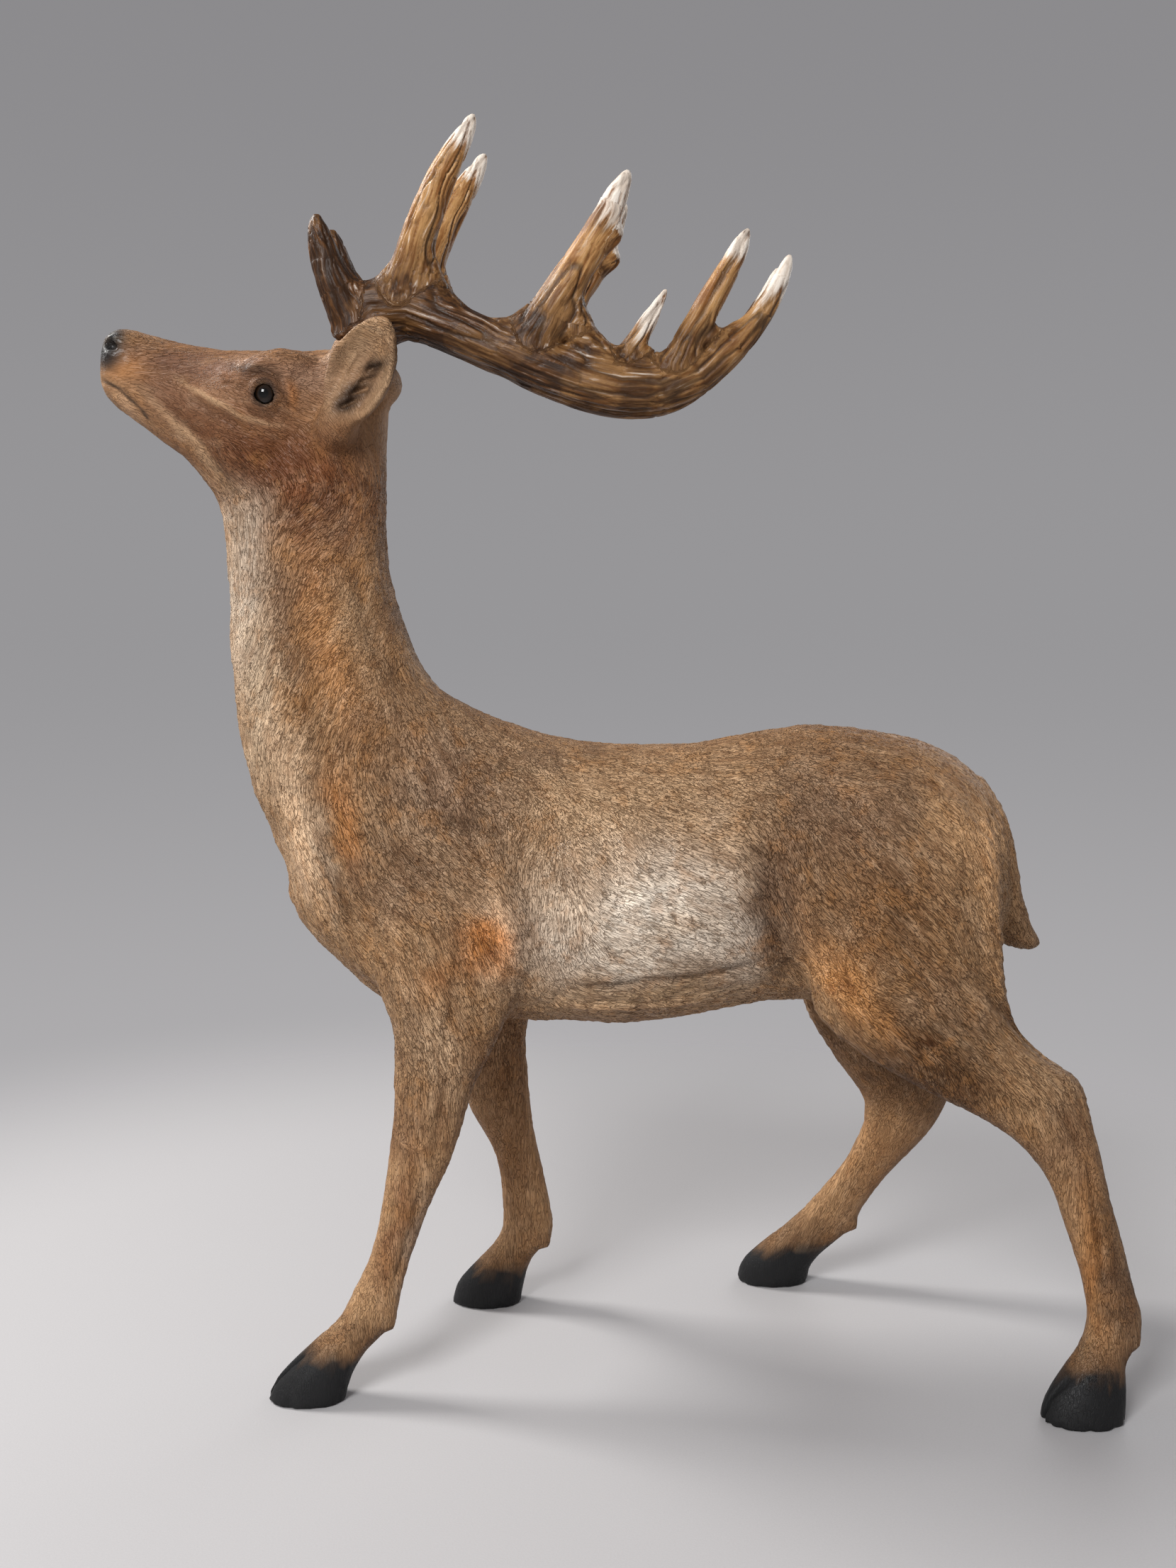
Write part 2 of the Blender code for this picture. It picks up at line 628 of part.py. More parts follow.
def add_dewclaws(name, rows, collection):
    """The two small claws that stand out behind a fetlock."""
    rear = row_at(rows, DEWCLAW_Z)[1]
    y = leg_y(name, DEWCLAW_Z)
    return [
        add_mass(f"{name}_dewclaw_{side}", (rear - DEWCLAW_IN, y + side * DEWCLAW_OUT, DEWCLAW_Z), DEWCLAW_SIZES,
                 DEWCLAW_TURN, collection)
        for side in (-1, 1)
    ]


def add_cleft_cutter(name, rows, collection):
    """A thin slab that parts the two toes, laid along the front slope of the hoof."""
    y = leg_y(name, 0.0)
    top = at(row_at(rows, HOOF_TOP_Z)[0], y, HOOF_TOP_Z)
    toe = at(row_at(rows, FLOOR_ROW)[0], y, FLOOR_ROW)
    slope = (top - toe).normalized()
    inward = Vector((slope.z, 0.0, -slope.x))
    length = (top - toe).length
    cutter = add_block_cutter(
        f"{name}_cleft",
        (CLEFT_DEPTH - length, -CLEFT_WIDTH / 2, -length / 2),
        (CLEFT_DEPTH, CLEFT_WIDTH / 2, length),
        collection,
    )
    lean = Matrix((inward, (0, 1, 0), slope)).transposed().to_4x4()
    cutter.matrix_world = Matrix.Translation(toe) @ lean @ cutter.matrix_basis
    return cutter


def build_body(parts, clay, cutters):
    body = fused("body", body_clay(clay), BODY_GRAIN, BODY_SMOOTHING, BODY_TRIANGLES, parts)
    reach = STATUE_HEIGHT
    cuts = [add_block_cutter("floor", (-reach, -reach, -reach / 10), (reach, reach, 0.0), cutters)]
    for name, side in (("left", -1), ("right", 1)):
        point, axis = seat_of(side)
        above = PEDICLE_DIAMETER / 2 + PEDICLE_SHOULDER
        cuts.append(add_disc(f"{name}_seat", point - axis * ANTLER_CLEARANCE, axis, above, 2 * above, cutters))
        socket = EYE_DIAMETER / 2 + EYE_CLEARANCE
        cuts.append(add_ball_cutter(f"{name}_socket", eye_centre(side), socket, cutters))
        (x, y, z), sizes, turn = NOSTRIL
        cuts.append(add_mass(f"{name}_nostril", (x, side * y, z), sizes, turn, cutters, segments=12))
        cuts.append(add_tube(f"{name}_mouth", MOUTH_LINE, cutters, side, roundness=1))
    cuts += [add_cleft_cutter(name, rows, cutters) for name, rows in LEGS.items()]
    cut_away(body, cuts)
    return body


def build_antler(name, side, parts, clay, cutters):
    point, axis = seat_of(side)
    raised = RIGHT_ANTLER_RAISE / SHARE if side > 0 else 0.0
    lift = np.array((0.0, 0.0, raised, 0.0))
    lumps = [add_tube("beam", np.array(BEAM) + lift, clay, side)]
    for i, rows in enumerate(TINES):
        lumps.append(add_tube(f"tine_{i}", np.array(rows) + lift, clay, side))
    burr = PEDICLE_DIAMETER / 2 + BURR_OVERHANG
    lumps.append(add_disc("burr", point - axis * BURR_HEIGHT, axis, burr, BURR_HEIGHT * 4 / 3, clay))
    antler = fused(name, lumps, ANTLER_GRAIN, ANTLER_SMOOTHING, ANTLER_TRIANGLES, parts)
    cut_away(antler, [add_disc(f"{name}_foot", point, -axis, 3 * burr, 3 * burr, cutters)])
    return antler


def build_eye(name, side, parts):
    mesh = bpy.data.meshes.new(name)
    made = bmesh.new()
    bmesh.ops.create_icosphere(made, subdivisions=3, radius=EYE_DIAMETER / 2)
    made.to_mesh(mesh)
    made.free()
    eye = new_object(name, mesh, parts)
    eye.location = eye_centre(side)
    return eye


def main():
    clear_scene()
    parts = new_collection("resin_deer_statue")
    clay = new_collection("clay", hidden=True)
    cutters = new_collection("cutters", hidden=True)
    fur_paint = painted("fur_paint", (0.27, 0.155, 0.08), 0.62)
    antler_paint = painted("antler_paint", (0.24, 0.12, 0.05), 0.5)
    eye_glass = painted("eye_glass", (0.006, 0.005, 0.005), 0.08, coat=1.0)

    body = build_body(parts, clay, cutters)
    body.data.materials.append(fur_paint)
    for name, side in (("left", -1), ("right", 1)):
        antler = build_antler(f"antler_{name}", side, parts, clay, cutters)
        antler.data.materials.append(antler_paint)
        eye = build_eye(f"eye_{name}", side, parts)
        eye.data.materials.append(eye_glass)
    for obj in parts.objects:
        obj.data.shade_smooth()


main()
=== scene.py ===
"""Looks of the resin stag: its carved and painted coat, its antlers and its eyes, on a pale studio floor.

Metres, +Z up, in the frame of the CAD model. Places on the statue are written as X and Z rows, in hundredths
of its height, with the floor at FLOOR_ROW. Carving and paint are laid on both sides alike unless a side is
named.
"""

import math

import bpy
import numpy as np
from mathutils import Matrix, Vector


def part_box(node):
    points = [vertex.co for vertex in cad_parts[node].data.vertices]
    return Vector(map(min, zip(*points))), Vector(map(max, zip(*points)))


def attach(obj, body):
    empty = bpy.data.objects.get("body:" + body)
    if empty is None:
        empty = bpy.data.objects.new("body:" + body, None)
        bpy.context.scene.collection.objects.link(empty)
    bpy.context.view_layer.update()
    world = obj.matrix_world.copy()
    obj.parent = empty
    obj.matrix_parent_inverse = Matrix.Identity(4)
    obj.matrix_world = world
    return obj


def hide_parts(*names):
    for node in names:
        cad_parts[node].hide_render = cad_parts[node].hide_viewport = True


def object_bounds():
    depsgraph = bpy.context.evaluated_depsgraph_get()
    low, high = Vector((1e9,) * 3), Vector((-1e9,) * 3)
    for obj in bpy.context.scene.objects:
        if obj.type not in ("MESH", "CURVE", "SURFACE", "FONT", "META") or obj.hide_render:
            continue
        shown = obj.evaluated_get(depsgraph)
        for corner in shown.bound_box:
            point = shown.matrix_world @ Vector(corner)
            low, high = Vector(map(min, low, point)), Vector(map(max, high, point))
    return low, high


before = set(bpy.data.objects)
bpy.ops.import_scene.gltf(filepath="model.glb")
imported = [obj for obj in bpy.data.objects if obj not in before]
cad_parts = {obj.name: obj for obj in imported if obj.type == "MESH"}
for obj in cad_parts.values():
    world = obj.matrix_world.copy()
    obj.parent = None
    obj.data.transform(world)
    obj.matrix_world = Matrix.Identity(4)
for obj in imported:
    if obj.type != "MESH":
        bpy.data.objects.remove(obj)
cad_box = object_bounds()

# The statue's scale
STATUE_HEIGHT = 1.44
FLOOR_ROW = 0.85
TOP_ROW = 100.0
MIDDLE_ROW = 0.4
ROW = STATUE_HEIGHT / (TOP_ROW - FLOOR_ROW)
BOTH = (-1, 1)
LEFT = (-1,)
RIGHT = (1,)

# How finely each piece is carved, in metres, and its triangles
SKIN_GRAIN = 0.0019
ANTLER_GRAIN = 0.0015
SKIN_TRIANGLES = 194000
ANTLER_TRIANGLES = 110000
FACE_KEPT = 0.55
BODY_RELIEF = 1.7
MERGE = 0.000001

# The camera, from the places where the hooves stand on the floor in the photograph
PHOTO_WIDTH = 1659
PHOTO_HEIGHT = 2212
FOCAL_PIXELS = 2400.0
SENSOR = 36.0
CAMERA_PLACE = (-0.0303, -2.0, 0.9047)
CAMERA_PITCH = math.atan(256 / FOCAL_PIXELS)

# Paints, as linear colours
TAN = (0.44, 0.255, 0.125)
SAND = (0.56, 0.365, 0.21)
GREY = (0.235, 0.138, 0.08)
OCHRE = (0.46, 0.175, 0.045)
CREAM = (0.80, 0.68, 0.54)
CHESTNUT = (0.17, 0.058, 0.019)
BROWN = (0.24, 0.112, 0.045)
UMBER = (0.10, 0.048, 0.022)
SOOT = (0.012, 0.012, 0.0125)


def at(x, z, y=0.0):
    """The point in metres of a place on the rows' scale."""
    return np.array(((x - MIDDLE_ROW) * ROW, y * ROW, (z - FLOOR_ROW) * ROW))


def only(obj):
    """Nothing selected but this object, which is the active one."""
    bpy.ops.object.select_all(action="DESELECT")
    obj.select_set(True)
    bpy.context.view_layer.objects.active = obj


def finish_with(obj, kind, **settings):
    """One modifier, applied."""
    only(obj)
    modifier = obj.modifiers.new(kind, kind)
    for name, value in settings.items():
        setattr(modifier, name, value)
    bpy.ops.object.modifier_apply(modifier=modifier.name)


def copy_of(node, name):
    """A copy of a CAD piece as one joined skin, with no material."""
    obj = bpy.data.objects.new(name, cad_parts[node].data.copy())
    bpy.context.scene.collection.objects.link(obj)
    only(obj)
    bpy.ops.object.mode_set(mode="EDIT")
    bpy.ops.mesh.select_all(action="SELECT")
    bpy.ops.mesh.remove_doubles(threshold=MERGE)
    bpy.ops.object.mode_set(mode="OBJECT")
    obj.data.materials.clear()
    return obj


def thin_to(obj, triangles, **settings):
    """The mesh thinned to about this many triangles, where its form is plainest."""
    obj.data.calc_loop_triangles()
    ratio = triangles / len(obj.data.loop_triangles)
    finish_with(obj, "DECIMATE", ratio=ratio, use_collapse_triangulate=True, **settings)


def thin_skin(obj, face_points):
    """The skin thinned twice: the face a little, then the rest to what is left of the triangles."""
    group = obj.vertex_groups.new(name="face")
    group.add([int(i) for i in np.flatnonzero(face_points)], 1.0, "REPLACE")
    obj.data.calc_loop_triangles()
    face_loss = 2 * face_points.sum() * (1 - FACE_KEPT)
    thin_to(obj, len(obj.data.loop_triangles) - face_loss, vertex_group="face")
    thin_to(obj, SKIN_TRIANGLES, vertex_group="face", invert_vertex_group=True)
    obj.vertex_groups.clear()


def values_of(items, name, width):
    """One property of all a mesh's points, as an array."""
    values = np.empty(len(items) * width)
    items.foreach_get(name, values)
    return values.reshape(-1, width)


def put_attribute(obj, name, kind, values):
    layer = obj.data.attributes.new(name, kind, "POINT")
    field = {"FLOAT": "value", "FLOAT_VECTOR": "vector", "FLOAT_COLOR": "color"}[kind]
    layer.data.foreach_set(field, np.ascontiguousarray(values, dtype=np.float32).ravel())


def smooth_step(low, high, value):
    t = np.clip((value - low) / (high - low), 0.0, 1.0)
    return t * t * (3 - 2 * t)


def lattice(cell, seed):
    """An even random number from 0 to 1 for each whole-number place."""
    mixed = cell[:, 0] * 73856093 ^ cell[:, 1] * 19349663 ^ cell[:, 2] * 83492791 ^ seed * 2654435
    mixed = (mixed ^ (mixed >> 13)) * 1274126177
    return ((mixed ^ (mixed >> 16)) & 0xFFFFFF) / 0xFFFFFF


def noise(places, seed=0):
    """Soft random values from 0 to 1 that change over a length of about 1."""
    cell = np.floor(places).astype(np.int64)
    inside = places - cell
    ease = inside * inside * (3 - 2 * inside)
    total = np.zeros(len(places))
    for corner in np.ndindex(2, 2, 2):
        weight = np.prod(np.where(corner, ease, 1 - ease), axis=1)
        total += weight * lattice(cell + np.array(corner), seed)
    return total


# A stroke lands where the skin faces sideways by this much, and thins over this share of its length
SIDE_ON = 0.05
STROKE_END = 0.18


class Clay:
    """A mesh as arrays, to be carved."""

    def __init__(self, obj):
        self.obj = obj
        self.points = values_of(obj.data.vertices, "co", 3)
        self.read_normals()

    def read_normals(self):
        self.normals = values_of(self.obj.data.vertices, "normal", 3)

    def put_back(self):
        low, high = np.array(cad_box[0]), np.array(cad_box[1])
        self.points = np.clip(self.points, low, high)
        self.obj.data.vertices.foreach_set("co", self.points.ravel())
        self.obj.data.update()
        self.read_normals()

    def raise_by(self, heights):
        self.points += self.normals * heights[:, None]

    def side_distance(self, route, reach, sides, facing):
        """The points near a route of rows, seen from the side, with their distance and share along it."""
        route = np.array([at(x, z)[[0, 2]] for x, z in route])
        flat = self.points[:, [0, 2]]
        low, high = route.min(axis=0) - reach, route.max(axis=0) + reach
        near = ((flat > low) & (flat < high)).all(axis=1)
        side = np.where(self.points[:, 1] < 0, -1, 1)
        near &= np.isin(side, sides) & (self.normals[:, 1] * side > facing)
        chosen = np.flatnonzero(near)
        best = np.full(len(chosen), np.inf)
        share = np.zeros(len(chosen))
        spans = np.linalg.norm(np.diff(route, axis=0), axis=1)
        starts = np.concatenate([[0], np.cumsum(spans)])
        for i, (start, end) in enumerate(zip(route, route[1:])):
            run = end - start
            t = np.clip((flat[chosen] - start) @ run / max(run @ run, 1e-12), 0, 1)
            gap = np.linalg.norm(flat[chosen] - start - t[:, None] * run, axis=1)
            closer = gap < best
            best[closer] = gap[closer]
            share[closer] = (starts[i] + t[closer] * spans[i]) / starts[-1]
        return chosen, best, share

    def stroke(self, route, width, height, sides=BOTH, facing=SIDE_ON):
        """A ridge (or, below zero, a groove) of this half width and height, thinning at its ends."""
        chosen, gap, share = self.side_distance(route, 3 * width, sides, facing)
        amount = height * np.exp(-((gap / width) ** 2))
        amount *= smooth_step(0, STROKE_END, share) * smooth_step(0, STROKE_END, 1 - share)
        self.points[chosen] += self.normals[chosen] * amount[:, None]


def ring(centre, half_length, half_height, start, end, count=14):
    """Points on an ellipse between two angles in degrees, anticlockwise from the rear."""
    turns = [math.radians(start + (end - start) * i / (count - 1)) for i in range(count)]
    return [(centre[0] + half_length * math.cos(t), centre[1] + half_height * math.sin(t)) for t in turns]


# Which way the hair lies on the side: X, Z and the direction from root to tip
HAIR_GUIDES = (
    (-37, 82, 1.0, 0.1), (-30, 82, 1.0, 0.05), (-23, 82.5, 1.0, 0.1), (-36, 79.5, 1.0, -0.3),
    (-31, 77, 1.0, -0.45), (-27, 76, 0.9, -0.5), (-24, 79, 1.0, -0.2), (-29, 73, 0.6, -0.7),
    (-22, 75, 0.5, -0.8), (-18, 76, 0.2, -1.0), (-28, 68, -0.15, -1.0), (-23, 69, -0.8, -0.65),
    (-18.5, 69, -0.5, -0.85), (-27.5, 60, -0.3, -1.0), (-22, 61, -0.75, -0.75), (-18, 62, -0.5, -0.9),
    (-24, 53, -0.5, -0.9), (-27.5, 49, 0.0, -1.0), (-19, 54, -0.3, -0.9), (-14.5, 56, 0.6, -0.8),
    (-12, 50, 0.45, -0.9), (-17, 47, 0.3, -0.95), (-23, 43, 0.3, -1.0), (-14, 43, 0.75, -0.68),
    (-18, 38, 0.7, -0.8), (-10.5, 41, 0.7, -0.75), (-9, 37, 0.5, -0.9), (-13, 34, 0.35, -1.0),
    (-13, 28, 0.2, -1.0), (-6, 44, -0.3, -0.95), (-4, 38, -0.2, -1.0), (-8, 50, 0.8, -0.5),
    (0, 51, 1.0, -0.15), (0, 45, 0.8, -0.6), (1, 39, 0.9, -0.35), (0, 32, 1.0, -0.1), (8, 33, 1.0, 0.05),
    (8, 39, 0.9, -0.3), (8, 45, 0.9, -0.4), (10, 51, 1.0, -0.1), (12.5, 38, 0.3, -0.95),
    (14, 44, 0.4, -0.9), (20, 51, 1.0, -0.3), (19, 44, 0.6, -0.8), (18, 37, 0.6, -0.75),
    (24, 40, 0.8, -0.6), (25, 47, 0.8, -0.6), (29, 46, 0.4, -0.95), (29, 38, 0.4, -0.95),
    (22, 33, 0.85, -0.5), (28, 32, 0.7, -0.7), (33, 27, 0.6, -0.8), (32, 40, 0.3, -1.0),
    (35.5, 20, 0.15, -1.0), (38, 10, 0.1, -1.0), (-15, 21, 0.0, -1.0), (-17, 13, -0.15, -1.0),
    (-9.5, 24, 0.15, -1.0), (-7, 13, 0.1, -1.0), (24, 25, 0.5, -0.9), (25, 17, -0.4, -0.9),
    (21, 11, -0.5, -0.85),
)

# Within this many rows of a guide, the hair lies as it says
GUIDE_REACH = 1.2

# Where the coat is carved deeply or lightly: X, Z, half length, half height and depth, from 0 to 1
COAT_DEPTHS = (
    (-32, 79, 9, 5, 0.28), (-24, 77, 5, 5, 0.4), (-39, 82, 2.6, 2.6, 0.0), (-19, 79, 3.4, 5, 0.12),
    (-27, 49, 3.5, 7, 1.25), (-10, 38, 5, 6, 1.2), (4, 31, 12, 2.2, 1.3), (28.5, 40, 3, 6, 1.25),
)
# Where longer locks are carved: X, Z, half length, half height and turn
LONG_COAT = (
    (-23, 60, 5.5, 9, 0), (-24, 50, 4, 6, 0), (-9.5, 38, 4.5, 6.5, 0), (-12.5, 44, 4, 4, 0),
    (-6, 41, 2.4, 6, 0), (4, 32, 12, 1.8, 4), (28.5, 39, 2.6, 6.5, 0), (13.5, 38, 2.4, 6, 0),
    (31, 44, 2.4, 5, 0), (27, 31, 5, 3, -40),
)
SHIN_TOP = 24.0
SHIN_DEPTH = 0.6
HOOF_EDGE = 4.4
# Spacing, half length, half width and height of the locks, and how far they stray from the hair's lie
LONG_LOCKS = (0.013, 0.025, 0.0068, 0.0042)
SHORT_LOCKS = (0.0066, 0.0145, 0.0040, 0.0022)
LOCK_SWAY = 0.12
LOCK_RISE = 0.72
# Soft unevenness of the clay: the sizes of the coarse and fine folds, and their height
FOLD_SIZE = 0.045
FINE_FOLD_SIZE = 0.02
FOLD_HEIGHT = 0.003
# The right ear is pricked forward by these rows at its foot and at its tip
RIGHT_EAR_FORWARD = 1.4
RIGHT_TIP_FORWARD = 3.2
RIGHT_EAR_Y = 4.6
EAR_FOOT_Z = 76.6
EAR_TOP_Z = 84.6
# Rows at which the ears and the face end behind, the cheek starts above and the ears start at the side
EAR_REAR = -14.5
FACE_REAR = -22
CHEEK_FOOT = 74.5
EAR_ROOT = 3.6


def hair_lie(points):
    """The angle in the XZ plane in which the hair lies, in radians."""
    flat = points[:, [0, 2]]
    total = np.zeros((len(points), 2))
    for x, z, run, rise in HAIR_GUIDES:
        apart = ((flat - at(x, z)[[0, 2]]) ** 2).sum(axis=1) + (GUIDE_REACH * ROW) ** 2
        total += (np.array((run, rise)) / math.hypot(run, rise)) / apart[:, None] ** 1.5
    return np.arctan2(total[:, 1], total[:, 0])


def spot(points, x, z, half_length, half_height, turn=0.0, power=1.0):
    """A soft oval mask on the side: 1 at its middle, about a third at its edge."""
    flat = points[:, [0, 2]] - at(x, z)[[0, 2]]
    cos, sin = math.cos(math.radians(turn)), math.sin(math.radians(turn))
    along = (flat[:, 0] * cos + flat[:, 1] * sin) / (half_length * ROW)
    across = (-flat[:, 0] * sin + flat[:, 1] * cos) / (half_height * ROW)
    return np.exp(-((along**2 + across**2) ** power))


def ear_forward(points):
    """The points with those of the right ear moved back to where the left one's are, seen from the side."""
    height = points[:, 2] / ROW + FLOOR_ROW
    far = smooth_step(RIGHT_EAR_Y - 0.4, RIGHT_EAR_Y, points[:, 1] / ROW) * (height > EAR_FOOT_Z - 2)
    rise = np.clip((height - EAR_FOOT_Z) / (EAR_TOP_Z - EAR_FOOT_Z), 0, 1)
    moved = points.copy()
    moved[:, 0] += far * ROW * (RIGHT_EAR_FORWARD + (RIGHT_TIP_FORWARD - RIGHT_EAR_FORWARD) * rise)
    return moved


def coat_depth(points):
    depth = np.ones(len(points))
    for x, z, half_length, half_height, value in COAT_DEPTHS:
        mask = spot(points, x, z, half_length, half_height, power=1.6)
        depth += (value - depth) * mask
    height = points[:, 2] / ROW + FLOOR_ROW
    legs = smooth_step(SHIN_TOP + 4, SHIN_TOP - 6, height)
    depth += (SHIN_DEPTH - depth) * legs
    return depth * smooth_step(HOOF_EDGE - 0.4, HOOF_EDGE + 1.6, height)


def near_pairs(points, seeds, reach):
    """Pairs of seed and point numbers that may lie within the reach, in nine batches."""
    low = points.min(axis=0) - 2 * reach
    counts = ((points.max(axis=0) - low) // reach).astype(int) + 4

    def cell(places):
        step = ((places - low) // reach).astype(np.int64)
        return (step[:, 0] * counts[1] + step[:, 1]) * counts[2] + step[:, 2]

    cells = cell(points)
    order = np.argsort(cells, kind="stable")
    cells = cells[order]
    homes = cell(seeds)
    for over in (-1, 0, 1):
        for beside in (-1, 0, 1):
            home = homes + (over * counts[1] + beside) * counts[2]
            start = np.searchsorted(cells, home - 1)
            length = np.searchsorted(cells, home + 1, side="right") - start
            seed = np.repeat(np.arange(len(seeds)), length)
            within = np.arange(length.sum()) - np.repeat(np.cumsum(length) - length, length)
            yield seed, order[np.repeat(start, length) + within]


def carve_locks(clay, lie, depth, sizes, seed):
    """Overlapping locks of hair over the skin, each raised towards its tip. Returns their relief."""
    spacing, half_length, half_width, height = sizes
    rng = np.random.default_rng(seed)
    share = min(1.0, SKIN_GRAIN**2 / spacing**2)
    seeds = np.flatnonzero(rng.random(len(clay.points)) < share)
    places, normals = clay.points[seeds], clay.normals[seeds]
    angle = lie[seeds] + rng.normal(0, LOCK_SWAY, len(seeds))
    along = np.stack([np.cos(angle), np.zeros(len(seeds)), np.sin(angle)], axis=1)
    along -= normals * (along * normals).sum(axis=1, keepdims=True)
    along /= np.linalg.norm(along, axis=1, keepdims=True) + 1e-9
    across = np.cross(normals, along)
    long = half_length * rng.uniform(0.7, 1.25, len(seeds))
    wide = half_width * rng.uniform(0.75, 1.25, len(seeds))
    tall = rng.uniform(0.55, 1.0, len(seeds))
    relief = np.zeros(len(clay.points))
    for home, point in near_pairs(clay.points, places, half_length * 1.25):
        offset = clay.points[point] - places[home]
        run = (offset * along[home]).sum(axis=1) / long[home]
        inside = np.abs(run) < 1
        home, point, offset, run = home[inside], point[inside], offset[inside], run[inside]
        up = np.abs((offset * normals[home]).sum(axis=1))
        t = (run + 1) / 2
        narrow = np.sqrt(np.clip(4 * t * (1 - t), 0, 1)) * (1.15 - 0.4 * t)
        side = (offset * across[home]).sum(axis=1) / (wide[home] * narrow + 1e-9)
        rise = np.minimum(t / LOCK_RISE, (1 - t) / (1 - LOCK_RISE))
        shape = tall[home] * rise * np.clip(1 - side**2, 0, 1) * (up < 4 * half_width)
        np.maximum.at(relief, point, shape)
    clay.raise_by((relief - 0.45) * height * depth)
    return relief


# The eye's place in rows, its radius, and how far the lids stand out and lap over it, in metres
EYE = (-26.6, 79.15)
EYE_RADIUS = 0.0139
LID_MOUND = 0.0034
LID_LAP = 0.0024
LID_MOUND_WIDTH = 0.0065
LID_LAP_WIDTH = 0.0028


def set_lids(clay):
    """Thick lids that lap over the rim of each eyeball."""
    for side, node in ((-1, "eye_left"), (1, "eye_right")):
        low, high = (np.array(corner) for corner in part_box(node))
        offset = clay.points - (low + high) / 2
        flat = np.hypot(offset[:, 0], offset[:, 2]) + 1e-9
        outer = (offset[:, 1] * side > -0.004) & (flat > 0.55 * EYE_RADIUS)
        mound = outer * LID_MOUND * np.exp(-(((flat - EYE_RADIUS) / LID_MOUND_WIDTH) ** 2))
        clay.points[:, 1] += side * mound
        lap = outer * LID_LAP * np.exp(-(((flat - EYE_RADIUS) / LID_LAP_WIDTH) ** 2))
        lap *= np.where(offset[:, 2] > 0, 1.25, 0.8)
        clay.points[:, 0] -= offset[:, 0] / flat * lap
        clay.points[:, 2] -= offset[:, 2] / flat * lap


# Ridges and grooves of the carving: the route in rows, half width and height in millimetres, and the sides
HEAD_STROKES = (
    (ring(EYE, 0.95, 1.12, 5, 178), 1.9, 2.2, BOTH),
    (ring(EYE, 0.98, 1.15, 185, 350), 1.7, 1.5, BOTH),
    (ring(EYE, 1.55, 1.75, 15, 165), 2.4, -1.5, BOTH),
    (ring(EYE, 1.6, 1.8, 200, 330), 2.2, -1.0, BOTH),
    (ring((-26.3, 79.4), 2.1, 2.25, 20, 150), 3.6, 2.4, BOTH),
    (((-25.6, 79.9), (-25.0, 78.9), (-24.6, 78.0)), 1.7, -1.8, BOTH),
    (((-25.2, 80.6), (-24.6, 79.4), (-24.3, 78.2)), 2.4, 1.6, BOTH),
    (((-30.2, 80.1), (-29.0, 80.0), (-28.0, 79.5)), 1.6, -1.6, BOTH),
    (((-30.4, 80.8), (-29.2, 80.6), (-28.2, 80.0)), 2.2, 1.5, BOTH),
    (((-33.4, 80.6), (-31.8, 79.4), (-30.6, 78.7), (-29.3, 78.3), (-28.0, 77.5), (-26.4, 76.8),
      (-24.6, 76.6)), 3.2, 1.7, BOTH),
    (((-33.0, 79.3), (-31.0, 78.0), (-29.2, 77.1), (-27.6, 76.0)), 5.0, -1.6, BOTH),
    (((-36.6, 79.4), (-35.1, 77.8), (-33.5, 76.4), (-32.3, 75.4), (-31.4, 74.2)), 3.0, 1.3, BOTH),
    (((-34.6, 78.6), (-33.0, 77.0), (-31.4, 75.8)), 3.0, -1.2, BOTH),
    (((-30.6, 76.1), (-30.5, 73.6), (-29.6, 72.0), (-28.2, 70.9)), 4.0, -1.3, BOTH),
    (((-20.9, 75.0), (-20.6, 72.9), (-22.0, 71.4), (-24.7, 69.9), (-27.4, 69.6)), 5.0, -2.2, BOTH),
    (((-21.9, 76.0), (-22.0, 73.6), (-23.4, 72.0), (-26.0, 71.0)), 8.0, 2.0, BOTH),
    (((-37.6, 83.8), (-38.6, 84.1), (-39.4, 83.6)), 2.0, 1.2, BOTH),
    (((-39.6, 82.6), (-38.6, 82.2), (-37.8, 82.5)), 1.8, 1.2, BOTH),
    (((-37.2, 84.0), (-36.9, 82.8), (-37.2, 81.6)), 2.4, -1.0, BOTH),
    (((-39.9, 81.1), (-38.9, 80.8), (-37.8, 79.9), (-36.9, 78.9), (-36.2, 77.9)), 2.0, 1.3, BOTH),
    (((-39.4, 79.4), (-38.4, 78.7), (-37.4, 77.9)), 2.6, 1.2, BOTH),
)
